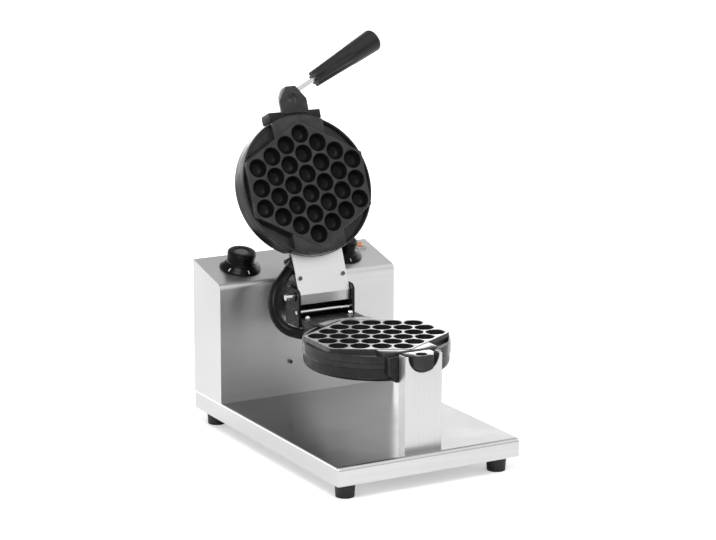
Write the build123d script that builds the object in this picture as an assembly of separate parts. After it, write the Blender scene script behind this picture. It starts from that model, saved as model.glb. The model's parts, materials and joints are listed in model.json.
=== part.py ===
from build123d import *
import math
import os

# Round bubble waffle maker with a flip iron. A steel tray on rubber feet carries a control
# housing at the back and a notched support at the front. Between them hangs a round iron of
# two cupped plates: the lower plate turns on a shaft along Y, and the upper plate is hinged
# to it at the back and stands open.
# Working frame, in millimetres: X to the right, Y to the back, Z up. X is 0 at the middle of
# the iron, Y is 0 at the tray's front edge and Z is 0 at the floor. The parts are written
# shifted, so that the origin is at the bottom centre of the whole object.

# Sheet metal and clearances
SHEET = 1.5
THIN_SHEET = 1.2
RUNNING_GAP = 0.05
BODY_GAP = 0.6
SEAT_GAP = 0.3
SCREW_GAP = 0.2

# Tray and feet
TRAY_WIDTH = 300.0
TRAY_SIDE = 27.0
TRAY_BEND = 6.0
FOOT_HEIGHT = 23.0
FOOT_TOP_RADIUS = 15.0
FOOT_BOTTOM_RADIUS = 13.5
FOOT_INSET = 25.0
FOOT_RECESS_RADIUS = 6.0
FOOT_RECESS_DEPTH = 12.0
FOOT_SCREW_RADIUS = 2.5
FOOT_SCREW_HEAD_RADIUS = 4.5
FOOT_SCREW_HEAD = 3.0

# Control housing, with a top that falls towards the front
HOUSING_DEPTH = 92.0
HOUSING_FRONT_HEIGHT = 183.0
HOUSING_BACK_HEIGHT = 206.0
HOUSING_BEND = 9.0
VENT_COUNT = 7
VENT_PITCH = 12.0
VENT_LENGTH = 60.0
VENT_WIDTH = 4.0
VENT_ABOVE_TRAY = 150.0
BACK_SCREW_INSET = 9.0
BACK_SCREW_RADIUS = 3.2
BACK_SCREW_HEAD = 2.0
STUD_X = -33.0
STUD_ABOVE_TRAY = 52.0
STUD_RADIUS = 3.0
STUD_LENGTH = 4.0

# Front support: a folded channel with a round notch
STAND_DEPTH = 18.0
STAND_SETBACK = 22.0
NOTCH_GAP = 2.5
NOTCH_SIDE = 1.4
LINER = 1.6

# Flip axis and plates
AXIS_ABOVE_TRAY = 138.0
PLATE_GAP = 0.5
CUP_PITCH = 31.0
CUP_RADIUS = 13.5
CUP_FLOOR_RADIUS = 8.5
CUP_DEPTH = 13.0
CUP_ROWS = 3
PAN_MARGIN = 17.5
PAN_RAISE = 8.0
PAN_EDGE = 1.2
DISC_MARGIN = 1.7
CASTING_THICK = 24.0
DRIP_LIP_WIDTH = 3.0
DRIP_LIP_HEIGHT = 2.0
HEATER_RING_RADIUS = 66.0
HEATER_TUBE_RADIUS = 4.0
HEATER_SLEEVE_RADIUS = 5.0
HEATER_LEG_X = 12.0
HEATER_LEG_LENGTH = 12.0
COVER_DEPTH = 19.0
COVER_BEND = 8.0
COVER_BOSS_RADIUS = 6.0
COVER_BOSS_INSET = 20.0
COVER_SCREW_RADIUS = 4.0
COVER_SCREW_HEAD = 2.0
COVER_TRIM = 0.6

# Front shoulders and noses of the plates
SHOULDER_HALF_WIDTH = 44.0
SHOULDER_DEPTH = 14.0
SHOULDER_HEIGHT = 41.0
SHOULDER_CHAMFER = 11.0
SHOULDER_BEHIND_STAND = 1.5
SHOULDER_BEYOND_DISC = 6.5
LUG_RADIUS = 23.0
LUG_PROUD = 5.0
LUG_STRAIGHT = 8.0
LUG_TIP_HALF_WIDTH = 12.5
LUG_POCKET_RADIUS = 8.0
LUG_POCKET_DEPTH = 5.0
NOSE_LENGTH = 38.0
NOSE_STRAIGHT = 17.0
NOSE_TIP_HALF_WIDTH = 8.0
NOSE_POCKET_RADIUS = 7.0
NOSE_POCKET_DEPTH = 3.0

# Hinge at the back of the plates
HINGE_BEHIND_DISC = 56.0
HINGE_ABOVE_PARTING = 26.0
OPEN_ANGLE = 113.0
PIVOT_RADIUS = 4.5
PIVOT_PROUD = 15.0
PIVOT_HEAD_RADIUS = 7.5
PIVOT_HEAD = 4.0
WASHER_RADIUS = 7.0
WASHER_THICK = 2.0
CHEEK_HALF_WIDTH = 48.0
CHEEK_THICK = 4.0
CHEEK_FRONT = 14.0
CHEEK_BACK = 27.0
CHEEK_ABOVE_HINGE = 12.0
CHEEK_BELOW_HINGE = 49.0
CHEEK_ROUND = 10.0
YOKE_FLOOR = 5.0
YOKE_FLOOR_FORWARD = 22.0
YOKE_BACK = 6.0
YOKE_BACK_BELOW_HINGE = 9.0
ROD_RADIUS = 2.8
ROD_FORWARD = 6.5
ROD_BELOW = 23.6
TONGUE_HALF_WIDTH = 46.0
TONGUE_DROP = 4.0
TONGUE_THICK = 10.0
TONGUE_SCREW_X = 36.5
TONGUE_SCREW_FORWARD = 20.5
TONGUE_SCREW_RADIUS = 4.0

# Upper arms and the bright cover over them
ARM_HALF_WIDTH = 42.0
ARM_THICK = 8.0
ARM_DEPTH = 27.0
ARM_END_DEPTH = 21.0
ARM_END_BEHIND_HINGE = 6.0
ARM_OVER_DISC = 4.0
UPPER_LUG_REACH = 17.0
UPPER_LUG_DEPTH = 27.0
UPPER_LUG_BITE = 12.0
COVER_PLATE_BEHIND_FACE = 19.0
COVER_PLATE_HALF_WIDTH = 43.0
COVER_LIP_LENGTH = 15.0
COVER_LIP_ANGLE = 27.0
COVER_SCREWS_X = 36.5
COVER_SCREWS_AHEAD_OF_HINGE = 25.0
SHEET_SCREW_RADIUS = 3.2
SHEET_SCREW_HEAD = 1.8
ARM_SCREW_RADIUS = 4.0
ARM_SCREW_HEAD = 2.6
ARM_SCREWS_FROM_END = 4.5
ARM_SCREWS_DEPTH = 22.0

# Handle
HANDLE_ANGLE = 25.4
HANDLE_ROOT_X = 9.0
HANDLE_BEHIND_TIP = 8.5
HANDLE_BEHIND_FACE = 12.0
HANDLE_ROD_RADIUS = 4.0
HANDLE_ROD_SHOWN = 44.0
GRIP_LENGTH = 133.0
GRIP_SMALL_RADIUS = 13.0
GRIP_LARGE_RADIUS = 18.0
GRIP_DOME = 9.0
GRIP_BORE_DEPTH = 45.0
GRIP_FLUTES = 8
GRIP_FLUTE_RADIUS = 5.0
GRIP_FLUTE_SINK = 2.2
GRIP_FLUTE_LENGTH = 62.0

# Flip shaft and its bearing in the housing
SHAFT_RADIUS = 10.0
SHAFT_HUB_RADIUS = 21.0
SHAFT_HUB_LENGTH = 10.4
SHAFT_IN_HOUSING = 42.0
BEARING_FLANGE_HALF = 27.0
BEARING_FLANGE = 5.0
BEARING_TUBE_RADIUS = 16.0
BEARING_TUBE_LENGTH = 34.0
CLIP_RADIUS = 13.0
CLIP_THICK = 2.0
CLIP_GROOVE = 1.5

# Knobs, their units and the rocker switch, all square to the sloped top
KNOB_X = (-92.0, 84.0)
KNOB_DOWN_SLOPE = 44.8
KNOB_SKIRT_RADIUS = 31.5
KNOB_SKIRT_EDGE = 2.5
KNOB_SKIRT_TOP_RADIUS = 24.0
KNOB_SKIRT_HEIGHT = 9.5
KNOB_BODY_RADIUS = 22.0
KNOB_HEIGHT = 28.0
KNOB_CROWN = 3.0
KNOB_FLOAT = 0.6
KNOB_HOLLOW_RADIUS = 11.0
KNOB_HOLLOW = 9.0
KNOB_CAP_RADIUS = 9.0
KNOB_CAP_DEPTH = 1.6
KNOB_CAP_THICK = 1.0
SPINDLE_RADIUS = 3.0
SPINDLE_ABOVE = 20.0
SPINDLE_BELOW = 18.0
BUSH_RADIUS = 5.0
BUSH_ABOVE = 5.0
UNIT_WIDTH = 46.0
UNIT_LENGTH = 40.0
UNIT_DEPTH = 34.0
SWITCH_X = 128.0
SWITCH_DOWN_SLOPE = 21.8
SWITCH_WIDTH = 15.0
SWITCH_LENGTH = 21.0
SWITCH_BEZEL_WALL = 2.0
SWITCH_BEZEL_HEIGHT = 2.0
SWITCH_DEPTH = 22.0
SWITCH_GAP = 0.5
ROCKER_END_GAP = 1.8
ROCKER_RISE = 3.2
ROCKER_TILT = 10.0
ROCKER_PIN_RADIUS = 1.2
ROCKER_PIVOT_DEPTH = 4.0
TERMINAL_X = 20.0
TERMINAL_LENGTH = 60.0
TERMINAL_DEPTH = 20.0
TERMINAL_HEIGHT = 22.0
GLAND_X = 95.0
GLAND_ABOVE_TRAY = 32.0
GLAND_RADIUS = 10.0
GLAND_NUT_RADIUS = 14.0
GLAND_NUT = 6.0
GLAND_LENGTH = 20.0
GLAND_BORE = 4.5

# Wire conduit from the lower plate to the upper arm, an open loop on the left. Its points
# are placed by hand from the hinge axis and run from the lower gland to the upper one.
CONDUIT_RADIUS = 6.5
CONDUIT_GLAND_RADIUS = 8.5
CONDUIT_GLAND = 9.0
CONDUIT_GLAND_ANGLE = 123.0
CONDUIT_DROP = 15.5
CONDUIT_LEAD = 16.0
CONDUIT_ARM_BEHIND = 21.0
CONDUIT_ARM_ABOVE = 40.5
CONDUIT_ARM_COURSE = (-0.765, -0.474, -0.437)
CONDUIT_POINTS = (
    (-84.0, -39.0, -37.0),
    (-91.5, -27.0, -24.0),
    (-93.0, -19.0, -7.0),
    (-88.0, -11.0, 9.5),
    (-77.0, -3.5, 22.0),
)
CONDUIT_BEND = 0.45

# Sizes and places that follow from the sizes above, chained from the tray's front to its back
TRAY_TOP = FOOT_HEIGHT + TRAY_SIDE
FLIP_Z = TRAY_TOP + AXIS_ABOVE_TRAY
NOTCH_RADIUS = LUG_RADIUS + NOTCH_GAP
STAND_WIDTH = 2 * (NOTCH_RADIUS + LINER + SHEET + NOTCH_SIDE)
CUP_COLUMN = CUP_PITCH * math.sqrt(3) / 2
PAN_SIDE = CUP_ROWS * CUP_COLUMN + PAN_MARGIN
PAN_SLANT = (CUP_ROWS - 0.5) * CUP_COLUMN + PAN_MARGIN
PAN_CORNER = (PAN_SLANT - PAN_SIDE / 2) / math.cos(math.radians(30))
DISC_RADIUS = math.hypot(PAN_SIDE, PAN_CORNER) + DISC_MARGIN
COVER_BOSS_RING = DISC_RADIUS - COVER_BOSS_INSET
IRON_THICK = CASTING_THICK + COVER_DEPTH
STAND_BACK = STAND_SETBACK + STAND_DEPTH
SHOULDER_Y = -DISC_RADIUS - SHOULDER_BEYOND_DISC
PLATE_SETBACK = STAND_BACK + SHOULDER_BEHIND_STAND - SHOULDER_Y
HINGE_Y = PLATE_SETBACK + DISC_RADIUS + HINGE_BEHIND_DISC
HINGE_Z = FLIP_Z + HINGE_ABOVE_PARTING
CHEEK_FRONT_Y = HINGE_Y - CHEEK_FRONT
CHEEK_BACK_Y = HINGE_Y + CHEEK_BACK
TONGUE_TOP = FLIP_Z - TONGUE_DROP
YOKE_FLOOR_TOP = TONGUE_TOP - TONGUE_THICK
HUB_END = CHEEK_BACK_Y + SHAFT_HUB_LENGTH
BEARING_FRONT = HUB_END + BODY_GAP
HOUSING_FRONT = BEARING_FRONT + BEARING_FLANGE
SHAFT_END = HOUSING_FRONT + SHAFT_IN_HOUSING
TRAY_LENGTH = HOUSING_FRONT + HOUSING_DEPTH
TOP_SLOPE = math.atan2(HOUSING_BACK_HEIGHT - HOUSING_FRONT_HEIGHT, HOUSING_DEPTH)
HANDLE_SLANT = math.radians(HANDLE_ANGLE)
HINGE_AXIS = Axis((0, HINGE_Y, HINGE_Z), (1, 0, 0))
AT_PLATE = Pos(0, PLATE_SETBACK, FLIP_Z)


def block(x_range, y_range, z_range):
    """Make a box from its lowest and highest values along X, Y and Z."""
    sizes = [high - low for low, high in (x_range, y_range, z_range)]
    middle = [(high + low) / 2 for low, high in (x_range, y_range, z_range)]
    return Pos(*middle) * Box(*sizes)


def rod_z(radius, low, high):
    """Make a cylinder along Z between two heights."""
    return Pos(0, 0, low) * extrude(Circle(radius), high - low)


def rod_y(radius, start, end, x=0.0, z=0.0):
    """Make a cylinder along Y from start to end."""
    return Pos(x, start, z) * Rot(-90, 0, 0) * extrude(Circle(radius), end - start)


def rod_x(radius, start, end, y=0.0, z=0.0):
    """Make a cylinder along X from start to end."""
    return Pos(start, y, z) * Rot(0, 90, 0) * extrude(Circle(radius), end - start)


def plan_prism(points, low, high):
    """Extrude a plan outline of X and Y points between two heights."""
    return Pos(0, 0, low) * extrude(make_face(Polyline(*points, close=True)), high - low)


def side_prism(points, start, end):
    """Extrude an outline of Y and Z points along X from start to end."""
    face = Plane.YZ * make_face(Polyline(*points, close=True))
    return Pos(start, 0, 0) * extrude(face, end - start)


def bent_case(points, bend_corner, bend_radius, width):
    """Extrude a Y and Z outline across X, with one corner rounded as a sheet bend."""
    face = make_face(Polyline(*points, close=True))
    near = sorted(face.vertices(), key=lambda v: math.dist((v.X, v.Y), bend_corner))
    return extrude(Plane.YZ * fillet(near[0], bend_radius), width / 2, both=True)


def both_sides(shape):
    """Give a shape and its mirror image across the middle plane."""
    return shape + mirror(shape, about=Plane.YZ)


def top_height(y):
    """Give the height of the housing's sloped top at a distance from the tray's front."""
    return TRAY_TOP + HOUSING_FRONT_HEIGHT + (y - HOUSING_FRONT) * math.tan(TOP_SLOPE)


def on_top(x, down_slope):
    """Give the place on the sloped top, with local Z square to it and local Y up the slope."""
    y = TRAY_LENGTH - down_slope * math.cos(TOP_SLOPE)
    normal = (0, -math.sin(TOP_SLOPE), math.cos(TOP_SLOPE))
    return Plane(origin=(x, y, top_height(y)), x_dir=(1, 0, 0), z_dir=normal).location


def opened(shape):
    """Swing a piece of the upper iron from closed to its open stop."""
    return shape.rotate(HINGE_AXIS, -OPEN_ANGLE)


def foot_places():
    """Give the four X and Y places of the feet."""
    half = TRAY_WIDTH / 2 - FOOT_INSET
    return [(x, y) for x in (-half, half) for y in (FOOT_INSET, TRAY_LENGTH - FOOT_INSET)]


def cup_centres():
    """Give the cup centres on the plate: staggered columns that shorten from the middle."""
    centres = []
    for k in range(-CUP_ROWS, CUP_ROWS + 1):
        count = 2 * CUP_ROWS - abs(k)
        for i in range(count):
            centres.append((k * CUP_COLUMN, (i - (count - 1) / 2) * CUP_PITCH))
    return centres


def pan_outline():
    """Give the six corners of the raised pan, a fixed margin outside the outer cups."""
    tip = PAN_SLANT / math.cos(math.radians(30))
    right = [(PAN_SIDE, -PAN_CORNER), (PAN_SIDE, PAN_CORNER)]
    return [(0, -tip), *right, (0, tip), (-PAN_SIDE, PAN_CORNER), (-PAN_SIDE, -PAN_CORNER)]


def cover_boss_places():
    """Give the four places of the cover's screws, on a ring between the axes."""
    reach = COVER_BOSS_RING * math.sqrt(0.5)
    return [(sx * reach, sy * reach) for sx in (-1, 1) for sy in (-1, 1)]


# Tray and feet

def tray():
    """Fold the tray from sheet: top, four sides and a bend along the front."""
    back = TRAY_LENGTH
    outer = [(0, FOOT_HEIGHT), (back, FOOT_HEIGHT), (back, TRAY_TOP), (0, TRAY_TOP)]
    inside_top = TRAY_TOP - SHEET
    low = FOOT_HEIGHT - SHEET
    inner = [(SHEET, low), (back - SHEET, low), (back - SHEET, inside_top), (SHEET, inside_top)]
    skin = bent_case(outer, outer[3], TRAY_BEND, TRAY_WIDTH)
    hollow = bent_case(inner, inner[3], TRAY_BEND - SHEET, TRAY_WIDTH - 2 * SHEET)
    return skin - hollow


def base_plate():
    """Close the tray from below with a plate that carries the feet."""
    half = TRAY_WIDTH / 2 - SHEET - SCREW_GAP
    span = (SHEET + SCREW_GAP, TRAY_LENGTH - SHEET - SCREW_GAP)
    plate = block((-half, half), span, (FOOT_HEIGHT, FOOT_HEIGHT + SHEET))
    for x, y in foot_places():
        plate -= Pos(x, y) * rod_z(FOOT_SCREW_RADIUS + SCREW_GAP, 0, TRAY_TOP)
    return plate


def rubber_feet():
    """Make the four tapered feet, each with a recess for its screw."""
    side = [(0, 0), (FOOT_BOTTOM_RADIUS, 0), (FOOT_TOP_RADIUS, FOOT_HEIGHT), (0, FOOT_HEIGHT)]
    foot = revolve(Plane.XZ * make_face(Polyline(*side, close=True)), Axis.Z)
    foot -= rod_z(FOOT_RECESS_RADIUS, 0, FOOT_RECESS_DEPTH)
    foot -= rod_z(FOOT_SCREW_RADIUS + SCREW_GAP, 0, FOOT_HEIGHT)
    return Compound([Pos(x, y) * foot for x, y in foot_places()])


def foot_screws():
    """Make the four screws that hold the feet to the base plate."""
    head_top = FOOT_RECESS_DEPTH
    screw = rod_z(FOOT_SCREW_HEAD_RADIUS, head_top - FOOT_SCREW_HEAD, head_top)
    screw += rod_z(FOOT_SCREW_RADIUS, head_top - FOOT_SCREW_HEAD, FOOT_HEIGHT + 2 * SHEET)
    return Compound([Pos(x, y) * screw for x, y in foot_places()])


# Control housing

def housing_outline(inset, low, back):
    """Give the housing's side outline, moved in from the sheet's outer face by an inset."""
    front = HOUSING_FRONT + inset
    drop = inset / math.cos(TOP_SLOPE)
    corner = (front, top_height(front) - drop)
    return [(front, low), (back, low), (back, top_height(back) - drop), corner]


def housing_shell():
    """Fold the housing: front, sides and sloped top, with the openings for what it carries."""
    outer = housing_outline(0, TRAY_TOP, TRAY_LENGTH)
    inner = housing_outline(SHEET, TRAY_TOP - SHEET, TRAY_LENGTH + SHEET)
    shell = bent_case(outer, outer[3], HOUSING_BEND, TRAY_WIDTH)
    shell -= bent_case(inner, inner[3], HOUSING_BEND - SHEET, TRAY_WIDTH - 2 * SHEET)
    bore = BEARING_TUBE_RADIUS + SCREW_GAP
    shell -= rod_y(bore, BEARING_FRONT, SHAFT_END, z=FLIP_Z)
    for x in KNOB_X:
        shell -= on_top(x, KNOB_DOWN_SLOPE) * rod_z(BUSH_RADIUS + SCREW_GAP, -2 * SHEET, SHEET)
    half_x = SWITCH_WIDTH / 2 - SWITCH_BEZEL_WALL + SCREW_GAP
    half_y = SWITCH_LENGTH / 2 - SWITCH_BEZEL_WALL + SCREW_GAP
    cut = block((-half_x, half_x), (-half_y, half_y), (-2 * SHEET, SHEET))
    shell -= on_top(SWITCH_X, SWITCH_DOWN_SLOPE) * cut
    shell -= rod_y(STUD_RADIUS / 2 + SCREW_GAP, BEARING_FRONT, HOUSING_FRONT + 2 * SHEET,
                   x=STUD_X, z=TRAY_TOP + STUD_ABOVE_TRAY)
    return shell


def back_screw_places():
    """Give the X and Z places of the back panel's screws, three down each side."""
    half = TRAY_WIDTH / 2 - SHEET - BACK_SCREW_INSET
    low = TRAY_TOP + BACK_SCREW_INSET
    high = top_height(TRAY_LENGTH) - SHEET - 2 * BACK_SCREW_INSET
    return [(x, z) for x in (-half, half) for z in (low, (low + high) / 2, high)]


def housing_back():
    """Make the flat back panel with its vents and the hole for the cable gland."""
    half = TRAY_WIDTH / 2 - SHEET - SCREW_GAP
    high = top_height(TRAY_LENGTH - SHEET) - (SHEET + SCREW_GAP) / math.cos(TOP_SLOPE)
    span = (TRAY_LENGTH - SHEET, TRAY_LENGTH)
    panel = block((-half, half), span, (TRAY_TOP + SCREW_GAP, high))
    vent_z = TRAY_TOP + VENT_ABOVE_TRAY
    for i in range(VENT_COUNT):
        x = (i - (VENT_COUNT - 1) / 2) * VENT_PITCH
        slot = Pos(x, TRAY_LENGTH, vent_z) * Rot(90, 0, 0)
        panel -= slot * extrude(SlotOverall(VENT_LENGTH, VENT_WIDTH, rotation=90), SHEET, both=True)
    panel -= rod_y(GLAND_RADIUS + SCREW_GAP, TRAY_LENGTH - 2 * SHEET, TRAY_LENGTH + SHEET,
                   x=GLAND_X, z=TRAY_TOP + GLAND_ABOVE_TRAY)
    return panel


def back_screws():
    """Make the round-headed screws of the back panel."""
    head_end = TRAY_LENGTH + BACK_SCREW_HEAD
    heads = [rod_y(BACK_SCREW_RADIUS, TRAY_LENGTH, head_end, x=x, z=z)
             for x, z in back_screw_places()]
    return Compound(heads)


def front_stud():
    """Make the small screw in the housing's front, with its shank through the sheet."""
    z = TRAY_TOP + STUD_ABOVE_TRAY
    head = rod_y(STUD_RADIUS, HOUSING_FRONT - STUD_LENGTH, HOUSING_FRONT, x=STUD_X, z=z)
    return head + rod_y(STUD_RADIUS / 2, HOUSING_FRONT, HOUSING_FRONT + STUD_LENGTH, x=STUD_X, z=z)


def cable_gland():
    """Make the gland in the back panel: a hexagon outside, a nut inside and a through bore."""
    place = Pos(GLAND_X, TRAY_LENGTH, TRAY_TOP + GLAND_ABOVE_TRAY) * Rot(-90, 0, 0)
    hexagon = extrude(RegularPolygon(GLAND_NUT_RADIUS, 6), GLAND_NUT)
    gland = hexagon + rod_z(GLAND_RADIUS, -GLAND_NUT - SHEET, GLAND_LENGTH)
    gland += Pos(0, 0, -GLAND_NUT - SHEET) * hexagon
    gland -= rod_z(GLAND_BORE, -2 * GLAND_NUT, 2 * GLAND_LENGTH)
    return place * gland


def terminal_block():
    """Make the terminal block that stands on the tray inside the housing."""
    y = TRAY_LENGTH - SHEET - TERMINAL_DEPTH * 2
    size_x = (TERMINAL_X, TERMINAL_X + TERMINAL_LENGTH)
    high = TRAY_TOP + TERMINAL_HEIGHT
    body = block(size_x, (y, y + TERMINAL_DEPTH), (TRAY_TOP, high))
    pole = TERMINAL_LENGTH / 4
    for i in range(1, 4):
        gap = (TERMINAL_X + i * pole - SHEET / 2, TERMINAL_X + i * pole + SHEET / 2)
        body -= block(gap, (y, y + TERMINAL_DEPTH), (high - TERMINAL_HEIGHT / 4, high))
    return body


# Front support

def stand():
    """Fold the front support: a face with a round notch and two sides."""
    half = STAND_WIDTH / 2
    span = (STAND_SETBACK, STAND_BACK)
    channel = block((-half, half), span, (TRAY_TOP, FLIP_Z))
    inner = half - SHEET
    channel -= block((-inner, inner), (STAND_SETBACK + SHEET, STAND_BACK), (TRAY_TOP, FLIP_Z))
    return channel - rod_y(NOTCH_RADIUS, 0, STAND_BACK, z=FLIP_Z)


def notch_liner():
    """Line the notch's edge with a dark bearing strip on the inside of the face."""
    span = (STAND_SETBACK + SHEET, STAND_SETBACK + SHEET + LINER)
    strip = rod_y(NOTCH_RADIUS + LINER, *span, z=FLIP_Z)
    strip -= rod_y(LUG_RADIUS + BODY_GAP, 0, STAND_BACK, z=FLIP_Z)
    half = STAND_WIDTH / 2 - SHEET
    return strip & block((-half, half), span, (TRAY_TOP, FLIP_Z - SEAT_GAP))


# Plates: both are made face up, with the cooking face at Z 0 and the cups' middle at the origin

def cup_cutter():
    """Make the space of one cup: a round mouth that narrows to a flat floor."""
    rim = Circle(CUP_RADIUS)
    floor = Pos(0, 0, -CUP_DEPTH) * Circle(CUP_FLOOR_RADIUS)
    return loft([floor, rim])


def shoulder():
    """Make the block behind the support, with its lower corners cut off."""
    half = SHOULDER_HALF_WIDTH
    cut = SHOULDER_CHAMFER
    front = [(-half, 0), (-half, cut - SHOULDER_HEIGHT), (cut - half, -SHOULDER_HEIGHT)]
    outline = front + [(-x, z) for x, z in reversed(front)]
    face = Plane.XZ * make_face(Polyline(*outline, close=True))
    piece = Pos(0, SHOULDER_Y + SHOULDER_DEPTH, 0) * extrude(face, SHOULDER_DEPTH)
    inner_end = -DISC_RADIUS + 2 * SHOULDER_DEPTH
    bridge = block((-half, half), (SHOULDER_Y, inner_end), (-CASTING_THICK, -PAN_RAISE))
    return piece + bridge


def nose(length, straight, radius, tip, pocket_radius, pocket_depth):
    """Make a half-round nose in front of the shoulder, drawn in to its tip, with a pocket."""
    root = SHOULDER_Y
    end = root - length
    bar = rod_y(radius, end, root) & block((-radius, radius), (end, root), (-radius, 0))
    right = [(radius, root), (radius, root - straight), (tip, end)]
    outline = right + [(-x, y) for x, y in reversed(right)]
    bar = bar & plan_prism(outline, -radius, 0)
    middle = root - length / 2
    return bar - Pos(0, middle, 0) * rod_z(pocket_radius, -pocket_depth, pocket_depth)


def lug_length():
    """Give how far the lower lug reaches from the shoulder, to stand proud of the support."""
    return SHOULDER_BEHIND_STAND + STAND_DEPTH + LUG_PROUD


def casting():
    """Make one plate: a round body, a drip lip, a raised six-sided pan with cups, a shoulder."""
    ledge = -PAN_RAISE
    body = rod_z(DISC_RADIUS, -CASTING_THICK, ledge)
    lip = rod_z(DISC_RADIUS, ledge, ledge + DRIP_LIP_HEIGHT)
    lip -= rod_z(DISC_RADIUS - DRIP_LIP_WIDTH, ledge, ledge + DRIP_LIP_HEIGHT)
    pan = plan_prism(pan_outline(), -CASTING_THICK, 0)
    pan = chamfer(pan.faces().sort_by(Axis.Z)[-1].edges(), PAN_EDGE)
    body = body + lip + pan + shoulder()
    cup = cup_cutter()
    body -= [Pos(x, y) * cup for x, y in cup_centres()]
    for x, y in cover_boss_places():
        post = rod_z(COVER_BOSS_RADIUS, SHEET - IRON_THICK, -CASTING_THICK)
        body += Pos(x, y) * post
    groove = Pos(0, 0, -CASTING_THICK) * Torus(HEATER_RING_RADIUS, HEATER_TUBE_RADIUS + SEAT_GAP)
    return body - groove


def lower_casting():
    """Add the lower plate's round lug and the tongue that is screwed to the yoke."""
    lug = nose(lug_length(), LUG_STRAIGHT, LUG_RADIUS, LUG_TIP_HALF_WIDTH,
               LUG_POCKET_RADIUS, LUG_POCKET_DEPTH)
    end = CHEEK_FRONT_Y - SEAT_GAP - PLATE_SETBACK
    start = DISC_RADIUS - DISC_RADIUS / 4
    half = TONGUE_HALF_WIDTH
    tongue = block((-half, half), (start, end), (-TONGUE_DROP - TONGUE_THICK, -TONGUE_DROP))
    tongue -= plan_prism(pan_outline(), -CASTING_THICK, 0)
    screw_y = HINGE_Y - TONGUE_SCREW_FORWARD - PLATE_SETBACK
    for x in (-TONGUE_SCREW_X, TONGUE_SCREW_X):
        tongue -= Pos(x, screw_y) * rod_z(TONGUE_SCREW_RADIUS / 2 + SCREW_GAP, -CASTING_THICK, 0)
    low = Pos(0, 0, -PLATE_GAP / 2)
    return AT_PLATE * (low * (casting() + lug + tongue))


def upper_casting():
    """Turn a plate face down, add its longer nose and the lug that the arms hold."""
    tip = nose(NOSE_LENGTH, NOSE_STRAIGHT, LUG_RADIUS, NOSE_TIP_HALF_WIDTH,
               NOSE_POCKET_RADIUS, NOSE_POCKET_DEPTH)
    half = ARM_HALF_WIDTH - ARM_THICK
    start = DISC_RADIUS - UPPER_LUG_BITE
    depth = COVER_PLATE_BEHIND_FACE + UPPER_LUG_DEPTH
    span = (start, DISC_RADIUS + UPPER_LUG_REACH)
    lug = block((-half, half), span, (-depth, -COVER_PLATE_BEHIND_FACE))
    plate = casting() + tip + lug
    reach = 2 * HANDLE_ROOT_X
    socket = handle_place() * rod_z(HANDLE_ROD_RADIUS + RUNNING_GAP, 0, reach)
    face_down = Rot(0, 180, 0) * plate - socket
    return opened(AT_PLATE * (Pos(0, 0, PLATE_GAP / 2) * face_down))


def heater():
    """Bend the tubular heater: a ring under the plate with two legs turned down."""
    ring = Torus(HEATER_RING_RADIUS, HEATER_TUBE_RADIUS)
    gap = block((-HEATER_LEG_X, HEATER_LEG_X), (0, DISC_RADIUS),
                (-HEATER_TUBE_RADIUS, HEATER_TUBE_RADIUS))
    ring -= gap
    reach = math.sqrt(HEATER_RING_RADIUS ** 2 - HEATER_LEG_X ** 2)
    leg = Pos(HEATER_LEG_X, reach) * rod_z(HEATER_SLEEVE_RADIUS, -HEATER_LEG_LENGTH, -SEAT_GAP)
    return Pos(0, 0, -CASTING_THICK) * (ring + both_sides(leg))


def heater_cover(back_trim):
    """Make the round cover under a plate, flat where the shoulder and the arms' lug stand."""
    depth = COVER_DEPTH
    front = SHOULDER_Y + SHOULDER_DEPTH + COVER_TRIM

    def pan_shape(radius, height, bend, inset):
        shape = extrude(Circle(radius), -height)
        shape = fillet(shape.edges().sort_by(Axis.Z)[0], bend)
        span = (front + inset, back_trim - inset)
        return shape & block((-radius, radius), span, (-height, 0))

    outer = pan_shape(DISC_RADIUS - SHEET, depth, COVER_BEND, 0)
    inner = pan_shape(DISC_RADIUS - 2 * SHEET, depth - SHEET, COVER_BEND - SHEET, SHEET)
    return Pos(0, 0, -CASTING_THICK) * (outer - inner)


def cover_screws():
    """Make the four screws that hold a heater cover to the plate's posts."""
    head = rod_z(COVER_SCREW_RADIUS, -IRON_THICK - COVER_SCREW_HEAD, -IRON_THICK)
    return Compound([Pos(x, y) * head for x, y in cover_boss_places()])


def below(shape):
    """Put a face-up piece under the lower plate."""
    return AT_PLATE * (Pos(0, 0, -PLATE_GAP / 2) * shape)


def above(shape):
    """Put a face-up piece, turned over, on the upper plate and swing it open."""
    turned = Rot(0, 180, 0) * shape
    return opened(AT_PLATE * (Pos(0, 0, PLATE_GAP / 2) * turned))


# Yoke, hinge pin and stop rod

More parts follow.
